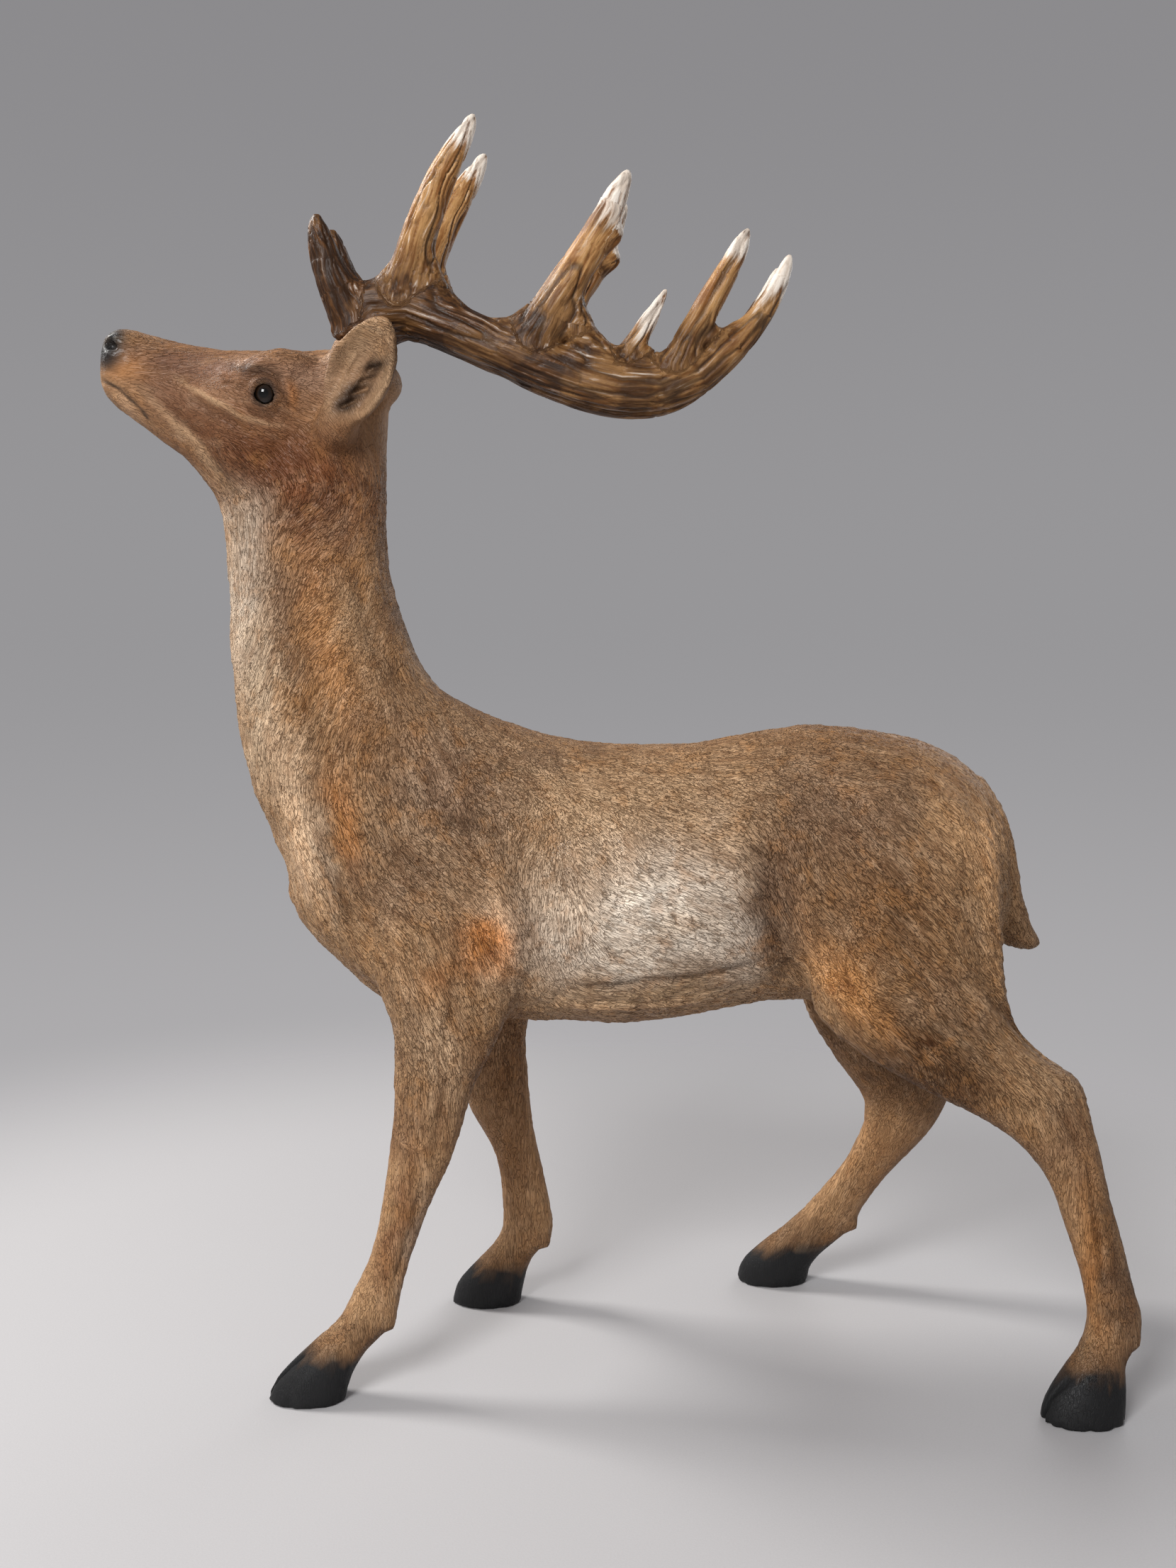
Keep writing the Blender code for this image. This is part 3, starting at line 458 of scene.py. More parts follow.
BODY_STROKES = (
    (((-26.2, 68.0), (-25.4, 62.0), (-23.8, 55.0), (-21.6, 49.0)), 13.0, -3.2, BOTH),
    (((-23.0, 67.0), (-22.2, 61.0), (-20.4, 55.0), (-18.4, 51.5)), 15.0, 2.6, BOTH),
    (((-20.2, 66.5), (-18.6, 60.0), (-15.6, 55.0)), 10.0, -2.2, BOTH),
    (((-23.9, 50.0), (-22.3, 45.0), (-21.5, 40.5), (-19.7, 36.5)), 9.0, -3.6, BOTH),
    (((-25.8, 49.0), (-24.4, 44.0), (-23.4, 40.0), (-21.9, 36.0)), 8.0, 3.0, BOTH),
    (((-16.0, 54.5), (-13.0, 50.0), (-10.6, 46.0)), 11.0, 2.4, BOTH),
    (((-13.4, 46.2), (-10.5, 45.9), (-7.8, 45.2)), 6.0, -2.4, BOTH),
    (((-19.6, 46.0), (-17.4, 44.4), (-15.0, 42.9), (-12.6, 42.2)), 8.0, -2.2, BOTH),
    (((-7.6, 45.4), (-7.2, 41.2), (-6.4, 38.0), (-6.0, 34.6), (-7.2, 31.4)), 10.0, -3.0, BOTH),
    (((-9.0, 43.0), (-8.4, 39.5), (-8.2, 36.0), (-9.2, 32.8)), 9.0, 3.4, BOTH),
    (((-12.4, 40.0), (-11.6, 36.8), (-12.0, 33.0), (-13.0, 28.5)), 6.0, -2.2, BOTH),
    (((-17.2, 40.0), (-16.2, 35.8), (-15.6, 31.0)), 8.0, 2.2, BOTH),
    (((-2.8, 45.5), (-2.6, 40.0), (-1.6, 35.5)), 11.0, 1.4, BOTH),
    (((1.4, 46.5), (1.4, 41.0), (2.2, 36.0)), 11.0, 1.2, BOTH),
    (((5.4, 46.5), (5.6, 41.5), (6.0, 37.0)), 11.0, 1.0, BOTH),
    (((-4.0, 33.4), (0.0, 33.3), (3.5, 33.7), (8.8, 34.4), (12.3, 35.3)), 5.0, -2.4, BOTH),
    (((-5.0, 31.6), (0.0, 31.4), (5.0, 31.7), (9.0, 32.5)), 5.0, 2.0, BOTH),
    (((11.6, 46.0), (12.3, 39.8), (12.8, 37.1), (13.9, 34.8), (15.6, 32.9)), 13.0, -3.6, BOTH),
    (((14.8, 42.0), (15.4, 38.0), (16.4, 34.0), (19.4, 30.6)), 9.0, 3.6, BOTH),
    (((17.0, 49.8), (19.0, 48.4), (21.0, 47.6)), 11.0, 2.4, BOTH),
    (((27.8, 46.4), (27.6, 42.0), (27.8, 38.0), (29.0, 34.4), (31.0, 31.4)), 11.0, -1.5, BOTH),
    (((22.4, 44.0), (22.2, 40.0), (23.0, 36.0), (25.6, 32.2)), 10.0, -1.8, BOTH),
    (((20.2, 33.6), (22.6, 31.0), (25.4, 28.8)), 8.0, -2.0, BOTH),
    (((29.0, 33.4), (32.2, 29.8), (35.2, 27.2)), 4.5, -3.2, LEFT),
    (((25.2, 30.4), (29.6, 27.2), (33.0, 24.6)), 7.0, 1.8, LEFT),
    (((33.4, 25.2), (35.2, 23.4), (36.4, 21.0)), 4.0, -2.0, LEFT),
    (((36.8, 21.6), (37.2, 16.0), (38.0, 10.0)), 3.2, -2.6, LEFT),
    (((35.2, 19.6), (36.2, 14.0), (37.2, 9.4)), 3.4, 1.2, LEFT),
    (((25.4, 30.0), (26.6, 26.2), (27.8, 22.4)), 4.5, -3.0, RIGHT),
    (((27.4, 19.4), (25.4, 15.0), (22.6, 10.4)), 3.2, -2.6, RIGHT),
    (((24.0, 17.8), (22.6, 14.4), (20.4, 10.2)), 3.4, 1.2, RIGHT),
    (((-12.6, 27.0), (-13.4, 22.4), (-13.6, 20.0)), 3.6, -2.0, LEFT),
    (((-16.6, 21.4), (-15.4, 20.6), (-14.0, 21.0)), 4.0, 1.6, LEFT),
    (((-14.6, 18.0), (-15.8, 13.4), (-17.0, 9.6)), 3.0, -2.4, LEFT),
    (((-8.4, 27.0), (-8.4, 22.0), (-8.0, 19.0)), 3.6, -2.0, RIGHT),
    (((-7.4, 17.0), (-6.6, 12.6), (-6.2, 9.6)), 3.0, -2.4, RIGHT),
)


def tuft(start, middle, end, width, height):
    """A ridge of hair through three places, on both sides."""
    return ((start, middle, end), width, height, BOTH)


# Tufts of hair down the back of the haunch, and behind each elbow
TUFTS = tuple(
    tuft((29.0 - 0.05 * i, 46.6 - 1.35 * i), (30.0, 44.9 - 1.35 * i), (30.7, 42.9 - 1.35 * i), 3.6, 2.1)
    for i in range(9)
) + tuple(
    tuft((-11.6 + 0.45 * i, 38.2 + 0.5 * i), (-8.6 + 0.25 * i, 37.0 + 0.2 * i), (-6.9, 34.4 + 0.6 * i),
         3.4, 1.7)
    for i in range(6)
)
# Ribs and slits of the ears' cups: the route in rows, half width and height in millimetres
EAR_STROKES = (
    (((-17.4, 82.6), (-18.4, 81.2), (-19.4, 79.6), (-20.4, 78.0)), 2.4, 2.2),
    (((-16.6, 81.8), (-17.4, 80.2), (-18.6, 78.6)), 2.2, 2.0),
    (((-18.9, 82.4), (-20.0, 80.8), (-20.6, 79.2)), 2.0, 1.8),
    (((-17.2, 81.1), (-18.6, 80.7)), 2.4, -4.6),
    (((-17.7, 80.3), (-19.2, 79.8)), 1.8, -3.6),
    (((-18.3, 79.5), (-20.0, 78.9)), 2.6, -5.0),
    (((-19.2, 78.6), (-20.7, 77.9)), 2.4, -4.6),
    (((-16.2, 83.4), (-15.6, 81.6), (-16.6, 79.6), (-18.4, 77.9), (-20.4, 77.0)), 2.6, 1.6),
)
# Raised places of the head: X, Z, half length, half height and height in millimetres
HEAD_SWELLINGS = (
    (-25.8, 82.6, 1.2, 0.8, 2.6), (-22.6, 82.6, 1.0, 0.9, 2.6), (-20.9, 82.2, 0.8, 0.9, 2.0),
    (-38.2, 84.0, 1.3, 1.0, 1.8), (-26.0, 73.8, 4.0, 2.6, 2.4), (-38.0, 79.1, 1.6, 0.9, 1.6),
    (-37.2, 80.6, 1.6, 1.2, 1.8), (-22.4, 79.6, 1.6, 2.2, 1.6),
)


def in_face(points):
    """Which points are on the face or an ear, where the skin is kept finer."""
    x, y, z = (points / ROW).T
    return (x < EAR_REAR) & (z > CHEEK_FOOT) & ((x < FACE_REAR) | (np.abs(y) > EAR_ROOT))


def carve_body():
    """The cast body: its CAD form made finer, with its muscles, face, ears and coat carved in."""
    obj = copy_of("body", "stag_body")
    finish_with(obj, "SUBSURF", levels=2, render_levels=2)
    finish_with(obj, "REMESH", mode="VOXEL", voxel_size=SKIN_GRAIN)
    finish_with(obj, "SMOOTH", factor=0.5, iterations=6)
    clay = Clay(obj)
    for route, width, height, sides in BODY_STROKES + TUFTS:
        clay.stroke(route, width / 1000, BODY_RELIEF * height / 1000, sides)
    clay.put_back()
    for x, z, half_length, half_height, height in HEAD_SWELLINGS:
        clay.raise_by(spot(clay.points, x, z, half_length, half_height) * height / 1000)
    clay.put_back()
    set_lids(clay)
    clay.put_back()
    for route, width, height, sides in HEAD_STROKES:
        clay.stroke(route, width / 1000, height / 1000, sides)
    clay.put_back()
    true_points = clay.points.copy()
    clay.points = ear_forward(clay.points)
    shift = clay.points - true_points
    for route, width, height in EAR_STROKES:
        clay.stroke(route, width / 1000, height / 1000, facing=0.35)
    clay.points -= shift
    clay.put_back()
    lie = hair_lie(clay.points)
    depth = coat_depth(clay.points)
    folds = noise(clay.points / FOLD_SIZE, 3) + 0.5 * noise(clay.points / FINE_FOLD_SIZE, 4) - 0.75
    clay.raise_by(folds * FOLD_HEIGHT * np.clip(depth, 0, 1))
    clay.put_back()
    long_coat = np.clip(sum(spot(clay.points, *place) for place in LONG_COAT), 0, 1)
    relief = carve_locks(clay, lie, long_coat, LONG_LOCKS, seed=5)
    clay.put_back()
    relief = 0.4 * relief * long_coat + carve_locks(clay, lie, depth, SHORT_LOCKS, seed=7)
    clay.put_back()
    put_attribute(obj, "relief", "FLOAT", relief)
    thin_skin(obj, in_face(clay.points))
    return obj


# The airbrushed coat: X, Z, half length, half height, turn, paint and strength
COAT_PAINT = (
    # Back and side
    (-4, 51, 30, 4.5, -3, (0.46, 0.27, 0.135), 0.8), (1, 47, 14, 6.5, 0, (0.60, 0.385, 0.215), 0.9),
    (24, 51, 9, 3, -18, TAN, 0.5),
    # Belly
    (2.5, 38.4, 9.5, 5.4, 6, (0.94, 0.83, 0.69), 1.0), (-2.5, 41, 3, 5, 10, SAND, 0.5),
    (5, 33.0, 10, 1.7, 6, (0.46, 0.29, 0.155), 0.9), (4.6, 37.8, 4.6, 1.2, 24, (0.62, 0.43, 0.27), 0.5),
    (10.4, 36.8, 2.7, 3.6, 0, (0.58, 0.47, 0.37), 0.85),
    # Flank, shoulder and elbow
    (13.6, 41.2, 2.1, 7.5, -4, (0.17, 0.075, 0.026), 0.9), (-12.5, 48.5, 7.0, 5.5, -35, GREY, 0.95),
    (-15.5, 41.5, 5, 4.5, 0, GREY, 0.6), (-13.0, 44.2, 3.0, 1.4, -38, SAND, 0.25),
    (-9.6, 36.9, 2.3, 2.2, -40, OCHRE, 0.95), (-12.2, 34.4, 3.0, 1.5, 30, OCHRE, 0.5),
    (-8.8, 53.2, 7, 2.6, -18, (0.42, 0.26, 0.15), 0.5),
    # Chest
    (-20.8, 46.4, 1.3, 4.2, 12, OCHRE, 0.8), (-22.7, 42.5, 0.9, 4.2, 14, (0.66, 0.52, 0.38), 0.7),
    (-26.2, 44.5, 2.0, 6, 10, TAN, 0.7),
    # Throat
    (-28.4, 66, 2.3, 9, -4, CREAM, 0.75), (-27.0, 57, 1.9, 9, -8, (0.66, 0.5, 0.34), 0.75),
    (-25.0, 50.5, 1.8, 5.4, 16, (0.72, 0.5, 0.32), 0.7),
    (-24.4, 44.8, 1.8, 5.0, 12, (0.86, 0.6, 0.38), 0.8),
    # Neck
    (-22.4, 68, 4.2, 4.0, 30, (0.30, 0.12, 0.042), 0.75), (-19.0, 71.0, 3.4, 3.4, 20, CHESTNUT, 0.5),
    (-17.4, 63, 1.8, 9, -4, (0.30, 0.155, 0.07), 0.6),
    (-22.8, 60, 2.8, 7.5, 24, (0.42, 0.19, 0.065), 0.8), (-19.4, 60.5, 1.2, 6.5, 22, SAND, 0.45),
    (-18.6, 54.0, 3.4, 3.6, 30, BROWN, 0.45),
    # Haunch and rump
    (18.6, 46.5, 7.5, 6.0, -20, GREY, 0.8), (20.6, 38.6, 6.5, 5.0, -30, (0.24, 0.118, 0.048), 0.85),
    (29.2, 46.5, 3.8, 6.0, 14, (0.74, 0.43, 0.21), 0.9), (27, 49.5, 5, 2.4, -35, (0.50, 0.30, 0.16), 0.7),
    # Thigh
    (18.4, 33.8, 4.0, 1.7, -52, (0.52, 0.23, 0.07), 0.85),
    (23.6, 28.8, 4.8, 1.3, -34, (0.50, 0.21, 0.06), 0.85),
    (27.4, 31.4, 3.6, 2.8, -40, (0.27, 0.145, 0.07), 0.7), (32.4, 39.5, 2.4, 4.5, 0, TAN, 0.6),
    # Hind legs
    (34.6, 26.6, 3.2, 2.4, -40, SAND, 0.5), (36, 21, 2.2, 5, 6, (0.30, 0.16, 0.08), 0.65),
    (37.2, 12.5, 1.0, 6.5, 6, (0.40, 0.17, 0.05), 0.8), (39.0, 12, 1.3, 7, 6, (0.10, 0.045, 0.02), 0.85),
    # The near-black patch at X 24.4 and the umber one beside it are painted shadow on the hind legs
    (24.4, 26.0, 5.4, 4.4, -40, (0.045, 0.022, 0.010), 0.95), (26.6, 20.4, 3.0, 2.0, -40, UMBER, 0.5),
    (23.6, 14.5, 4.6, 4.2, 50, (0.50, 0.27, 0.12), 0.75),
    # Forelegs
    (-15.4, 30.0, 1.8, 4.6, 8, (0.28, 0.18, 0.11), 0.6),
    (-12.6, 27.4, 2.2, 4.6, 0, (0.66, 0.46, 0.29), 0.65),
    (-15.6, 22.4, 2.6, 3.2, 0, (0.20, 0.10, 0.05), 0.6),
    (-16.6, 14.5, 1.0, 5, -12, (0.24, 0.10, 0.04), 0.8),
    (-15.0, 12.8, 0.9, 5, -12, (0.36, 0.26, 0.19), 0.7), (-9.4, 26, 3.2, 6, 0, BROWN, 0.5),
    (-8.2, 15, 2.4, 6, 0, (0.38, 0.19, 0.08), 0.6),
    # Head
    (-29, 78.5, 12, 7.5, -10, (0.21, 0.092, 0.042), 0.85),
    (-26.5, 74.2, 6.0, 3.0, -14, (0.135, 0.042, 0.010), 0.95),
    (-23.0, 72.6, 4.2, 3.2, 25, CHESTNUT, 0.85), (-33, 81.8, 6.5, 1.5, -4, (0.17, 0.078, 0.044), 0.85),
    (-34.6, 79.6, 4.4, 1.2, -34, (0.22, 0.11, 0.06), 0.8),
    (-33.0, 77.4, 3.6, 1.3, -40, (0.155, 0.058, 0.022), 0.8), (-32.6, 75.5, 4.6, 0.5, -46, SAND, 0.6),
    (-31.0, 79.0, 2.8, 0.24, -32, SAND, 0.65), (-27.6, 77.3, 1.9, 0.24, -14, SAND, 0.45),
    (-23.4, 80.8, 2.8, 1.8, 0, (0.31, 0.18, 0.115), 0.85),
    # The near-black mark at X -27.6 above the eye is painted shade in the brow's hollow
    (-27.6, 80.9, 1.8, 0.5, -18, (0.06, 0.028, 0.014), 0.85), (-24.6, 79.0, 0.4, 1.3, 8, OCHRE, 0.45),
    (-26.6, 79.2, 2.0, 1.9, 0, (0.12, 0.052, 0.024), 0.45),
    (-38.0, 81.4, 2.0, 1.0, -14, (0.38, 0.17, 0.06), 0.9),
    (-38.1, 78.5, 1.5, 0.5, -42, (0.50, 0.30, 0.17), 0.9), (-26.5, 82.2, 4, 0.7, -2, BROWN, 0.5),
)
EAR_PAINT = (
    (-18.4, 80.6, 4.4, 2.8, 58, (0.42, 0.27, 0.155), 1.0),
    (-18.9, 80.0, 3.0, 1.5, 62, (0.21, 0.105, 0.05), 0.75),
    # The four near-black marks that follow lie in the carved slits of the ear's cup: painted shade
    (-17.8, 81.0, 1.2, 0.6, 18, (0.025, 0.012, 0.006), 1.0),
    (-18.5, 80.1, 0.95, 0.26, 18, (0.05, 0.024, 0.011), 0.95),
    (-19.3, 79.2, 1.3, 0.66, 20, (0.025, 0.012, 0.006), 1.0),
    (-20.1, 78.2, 1.15, 0.7, 22, (0.025, 0.012, 0.006), 1.0),
    (-16.9, 82.6, 1.4, 0.9, 58, (0.36, 0.21, 0.11), 0.7),
)

# What the paint is multiplied by in the hollows and on the ridges of the carving: painted shade in the
# grooves, painted highlight on the ridges
GROOVE_PAINTED_SHADE = (0.30, 0.24, 0.20)
RIDGE_PAINTED_HIGHLIGHT = (1.9, 1.85, 1.8)
SHADE_END = 0.2
# The dark parting of the lips: X, Z, half length, half height and turn
MOUTH_SHADE = ((-39.0, 80.1, 1.2, 0.14, -24), (-37.6, 79.0, 1.1, 0.13, -42), (-36.6, 77.9, 0.6, 0.16, -56))
NOSE_PAD = (-39.9, 83.5, 2.1, 2.2)
LID_PAINT = (*EYE, 1.05, 1.2)
SHINY_BELLY = (4, 37.5, 8, 5)
EAR_BACK = (0.15, 0.075, 0.032)
PASTERN_TOP = 8.5
# How far the paint strays from its patches: the size of the waver, its width and its seeds
WAVERS = ((0.03, 0.026, (11, 12, 13)), (0.009, 0.009, (14, 15, 16)))
HEAD_CARE = 0.65


def lay_on(coat, paint, mask):
    """Paint laid over the coat where the mask is, in place."""
    coat += (np.array(paint) - coat) * mask[:, None]


def paint_stroke_shade_and_highlight(clay, coat):
    """The strokes of the carving brought out in paint: painted shade in the grooves, painted highlight on the
    ridges.
    """
    for route, width, height, sides in BODY_STROKES + TUFTS + HEAD_STROKES:
        chosen, gap, share = clay.side_distance(route, 0.004 * width, sides, SIDE_ON)
        amount = np.exp(-((gap / (0.0012 * width + 0.001)) ** 2))
        amount *= smooth_step(0, SHADE_END, share) * smooth_step(0, SHADE_END, 1 - share)
        # Below zero a groove, darkened as painted shade; above zero a ridge, lightened as painted highlight
        if height < 0:
            shade, strength = GROOVE_PAINTED_SHADE, min(0.48, 0.16 - 0.09 * height)
        else:
            shade, strength = RIDGE_PAINTED_HIGHLIGHT, min(0.3, 0.10 + 0.06 * height)
        coat[chosen] *= 1 + (np.array(shade) - 1) * (strength * amount)[:, None]


def paint_body(obj):
    """The airbrushed colours, with painted shade and highlight along the carving, the gloss and the hair's
    lie, as attributes of the finished skin.
    """
    clay = Clay(obj)
    points, normals = clay.points, clay.normals
    side = np.where(points[:, 1] < 0, -1.0, 1.0)
    wander = np.zeros_like(points)
    for size, width, seeds in WAVERS:
        wander += np.stack([noise(points / size, seed) - 0.5 for seed in seeds], axis=1) * width
    head = smooth_step(-20.5, -24.0, points[:, 0] / ROW) * smooth_step(70, 73, points[:, 2] / ROW)
    strayed = points + wander * (1 - HEAD_CARE * head)[:, None]
    coat = np.tile(np.array(TAN), (len(points), 1))
    for *place, paint, strength in COAT_PAINT:
        lay_on(coat, paint, strength * spot(strayed, *place, power=1.3))
    # Painted shade in the carved grooves and painted highlight on the carved ridges
    paint_stroke_shade_and_highlight(clay, coat)
    ear = smooth_step(5.0, 5.8, np.abs(points[:, 1]) / ROW) * smooth_step(75.5, 77, points[:, 2] / ROW)
    inside = ear * smooth_step(0.05, 0.4, normals[:, 1] * side)
    lay_on(coat, EAR_BACK, 0.75 * ear * (1 - inside))
    ear_points = ear_forward(points)
    for *place, paint, strength in EAR_PAINT:
        lay_on(coat, paint, strength * inside * spot(ear_points, *place, power=1.5))
    height = strayed[:, 2] / ROW + FLOOR_ROW
    # Painted shade: the coat turned darker brown low down, where the skin faces the floor
    below = smooth_step(31.5, 28.5, height) * smooth_step(0.2, -0.6, normals[:, 2])
    lay_on(coat, BROWN, 0.5 * below)
    top = smooth_step(0.55, 0.95, normals[:, 2]) * smooth_step(45, 50, height)
    lay_on(coat, BROWN, 0.45 * top)
    lay_on(coat, UMBER, 0.75 * smooth_step(PASTERN_TOP, HOOF_EDGE, height))
    lay_on(coat, SOOT, smooth_step(HOOF_EDGE + 0.7, HOOF_EDGE - 0.3, height))
    for place in MOUTH_SHADE:
        lay_on(coat, SOOT, 0.75 * spot(points, *place, power=1.6))
    nose = spot(strayed, *NOSE_PAD, power=3)
    lay_on(coat, SOOT, nose)
    lay_on(coat, SOOT, 0.85 * spot(points, *LID_PAINT, power=3))
    gloss = np.clip(0.4 * nose + 0.6 * spot(points, *SHINY_BELLY), 0, 1)
    put_attribute(obj, "coat", "FLOAT_COLOR", np.hstack([coat, np.ones((len(coat), 1))]))
    put_attribute(obj, "lie", "FLOAT", hair_lie(points))
    put_attribute(obj, "depth", "FLOAT", coat_depth(points))
    put_attribute(obj, "gloss", "FLOAT", gloss)


# The left antler's beam and tines, as X, Y, Z rows and radius, with Y outward
BEAM = (
    (-19.3, 2.7, 84.2, 1.95), (-17.8, 3.0, 85.4, 1.95), (-15.2, 3.5, 85.4, 1.92), (-11.8, 4.1, 84.1, 1.85),
    (-8.5, 4.6, 82.6, 1.80), (-5.3, 4.8, 81.2, 1.85), (-2.3, 5.0, 80.1, 1.82), (0.8, 5.2, 79.3, 1.72),
    (3.9, 5.2, 79.2, 1.55), (6.8, 5.0, 80.3, 1.32), (9.5, 4.8, 82.5, 1.15), (11.6, 4.6, 85.1, 0.98),
    (13.1, 4.3, 87.7, 0.75), (13.9, 4.0, 90.0, 0.38),
)
TINES = (
    ((-19.9, 3.1, 85.2, 1.85), (-20.7, 3.4, 86.8, 1.70), (-21.6, 3.7, 88.7, 1.40), (-22.45, 4.0, 92.9, 0.34)),
    ((-15.9, 3.6, 86.4, 1.85), (-15.3, 4.2, 88.5, 1.62), (-14.2, 5.2, 91.6, 1.42), (-12.6, 6.1, 95.0, 1.20),
     (-10.0, 6.9, 99.5, 0.42)),
    ((-5.8, 4.8, 82.8, 1.90), (-4.7, 5.1, 84.8, 1.75), (-3.3, 5.4, 87.1, 1.55), (-1.5, 5.9, 89.8, 1.36),
     (0.0, 6.2, 92.6, 1.08), (1.5, 6.6, 95.5, 0.36)),
    ((-0.9, 5.8, 90.0, 1.1), (0.9, 6.0, 91.2, 0.65)),
    ((0.7, 5.0, 80.9, 1.1), (1.6, 5.1, 82.4, 0.92), (2.7, 5.2, 84.2, 0.78), (4.5, 5.4, 87.2, 0.34)),
    ((5.0, 5.2, 81.2, 1.38), (5.8, 5.3, 82.7, 1.24), (7.2, 5.6, 85.2, 1.12), (8.6, 5.8, 87.6, 0.98),
     (10.5, 6.0, 91.5, 0.38)),
)
RIGHT_ANTLER_RAISE = 0.008
SEAT = (-19.5, 2.65, 83.3)
# Webs between the beam and its tines, as X, Y, Z rows and radius
WEBS = (
    ((-3.2, 5.4, 87.0, 1.0), (-2.7, 5.3, 84.0, 1.3), (-1.0, 5.2, 81.8, 1.3), (2.6, 5.2, 80.0, 0.9)),
    ((-4.6, 5.0, 86.0, 1.0), (-6.2, 4.8, 84.1, 1.3), (-8.4, 4.6, 83.3, 1.3), (-12.0, 4.2, 84.0, 1.0)),
    ((-14.4, 4.9, 90.4, 0.9), (-13.9, 4.3, 87.6, 1.2), (-12.9, 4.1, 85.6, 1.3), (-10.0, 4.4, 83.6, 1.0)),
    ((-15.2, 4.6, 89.6, 0.8), (-16.9, 3.7, 87.2, 1.2), (-18.5, 3.4, 86.5, 1.2), (-20.6, 3.4, 87.0, 0.9)),
    ((2.0, 5.2, 83.2, 0.5), (3.0, 5.2, 81.5, 0.7), (4.2, 5.2, 81.2, 0.7), (5.7, 5.3, 82.4, 0.6)),
    ((7.0, 5.5, 84.8, 0.7), (7.7, 5.2, 82.9, 0.9), (9.0, 4.9, 83.2, 0.8), (11.0, 4.7, 84.8, 0.6)),
)
# For the beam and each tine: the share with a white tip, how dark its foot and its end are, the foot's share
TINE_PAINT = (
    (0.14, 1.0, 0.35, 1.0), (0.0, 1.0, 0.95, 0.8), (0.30, 0.85, 0.1, 0.45), (0.44, 0.95, 0.1, 0.5),
    (0.35, 0.6, 0.3, 0.5), (0.8, 0.7, 0.2, 0.6), (0.36, 0.8, 0.15, 0.5),
)


# The grain of one tine is moved along by this from the grain of the last, in metres
TINE_SHIFT = 0.31
# Clay is eased into the crotches on a coarse skin
COARSE_GRAIN = 0.004
CROTCH_ROUNDS = 110
# Furrows across and along the grain, how sharply they are cut, and their depth
BROAD_FURROW = (0.0095, 0.0095, 0.11)
NARROW_FURROW = (0.0042, 0.0042, 0.05)
BROAD_EDGE = 0.12
NARROW_EDGE = 0.13
BROAD_DEPTH = 0.0021
NARROW_DEPTH = 0.0010
KNOB_SIZE = 0.0075
KNOB_HEIGHT = 0.0055
BURR_REACH = 0.052
BURR_CORE = 0.014


def antler_grain(points, side):
    """Each point's share along its tine, its place in the grain, and how white, dark and clear it is."""
    lift = RIGHT_ANTLER_RAISE if side > 0 else 0.0
    best = np.full(len(points), np.inf)
    second = np.full(len(points), np.inf)
    share = np.zeros(len(points))
    grain = np.zeros((len(points), 3))
    white = np.zeros(len(points))
    dark = np.zeros(len(points))
    for number, (rows, paints) in enumerate(zip((BEAM, *TINES), TINE_PAINT)):
        middle = np.array([at(x, z, side * y) for x, y, z, _ in rows]) + np.array((0, 0, lift))
        radii = np.array([radius * ROW for *_, radius in rows])
        spans = np.linalg.norm(np.diff(middle, axis=0), axis=1)
        starts = np.concatenate([[0], np.cumsum(spans)])
        nearest = np.full(len(points), np.inf)
        place = np.zeros(len(points))
        offset = np.zeros((len(points), 3))
        for i in range(len(spans)):
            run = middle[i + 1] - middle[i]
            t = np.clip((points - middle[i]) @ run / (run @ run), 0, 1)
            away = points - middle[i] - t[:, None] * run
            gap = np.linalg.norm(away, axis=1) / (radii[i] + (radii[i + 1] - radii[i]) * t)
            closer = gap < nearest
            nearest[closer] = gap[closer]
            place[closer] = (starts[i] + t * spans[i])[closer]
            offset[closer] = away[closer]
        closer = nearest < best
        second = np.where(closer, best, np.minimum(second, nearest))
        best[closer] = nearest[closer]
        whole = middle[-1] - middle[0]
        spin = offset[:, (1, 2)] if abs(whole[0]) > abs(whole[2]) else offset[:, (1, 0)]
        along = place / starts[-1]
        share[closer] = along[closer]
        grain[closer, :2] = spin[closer]
        grain[closer, 2] = place[closer] + number * TINE_SHIFT
        white_length, dark_foot, dark_tip, foot_length = paints
        white[closer] = smooth_step(1 - white_length, 1 - 0.35 * white_length, along)[closer]
        dark[closer] = (dark_foot + (dark_tip - dark_foot) * smooth_step(0, foot_length, along))[closer]
    clear = smooth_step(0.0, 0.5, second - best)
    return share, grain, white, dark, clear


def values_of_edges(mesh):
    """The two point numbers of each edge."""
    edges = np.empty(2 * len(mesh.edges), dtype=np.int64)
    mesh.edges.foreach_get("vertices", edges)
    return edges.reshape(-1, 2)


def fill_crotches(clay, rounds):
    """Webs in the crotches of the antler: the skin eased outward where it is hollow, never inward."""
    edges = values_of_edges(clay.obj.data)
    joined = np.bincount(edges.ravel(), minlength=len(clay.points))[:, None]
    for _ in range(rounds):
        clay.put_back()
        total = np.zeros_like(clay.points)
        np.add.at(total, edges[:, 0], clay.points[edges[:, 1]])
        np.add.at(total, edges[:, 1], clay.points[edges[:, 0]])
        move = total / joined - clay.points
        outward = (move * clay.normals).sum(axis=1)
        clay.points += move * (0.9 * (outward > 0))[:, None]
    clay.put_back()


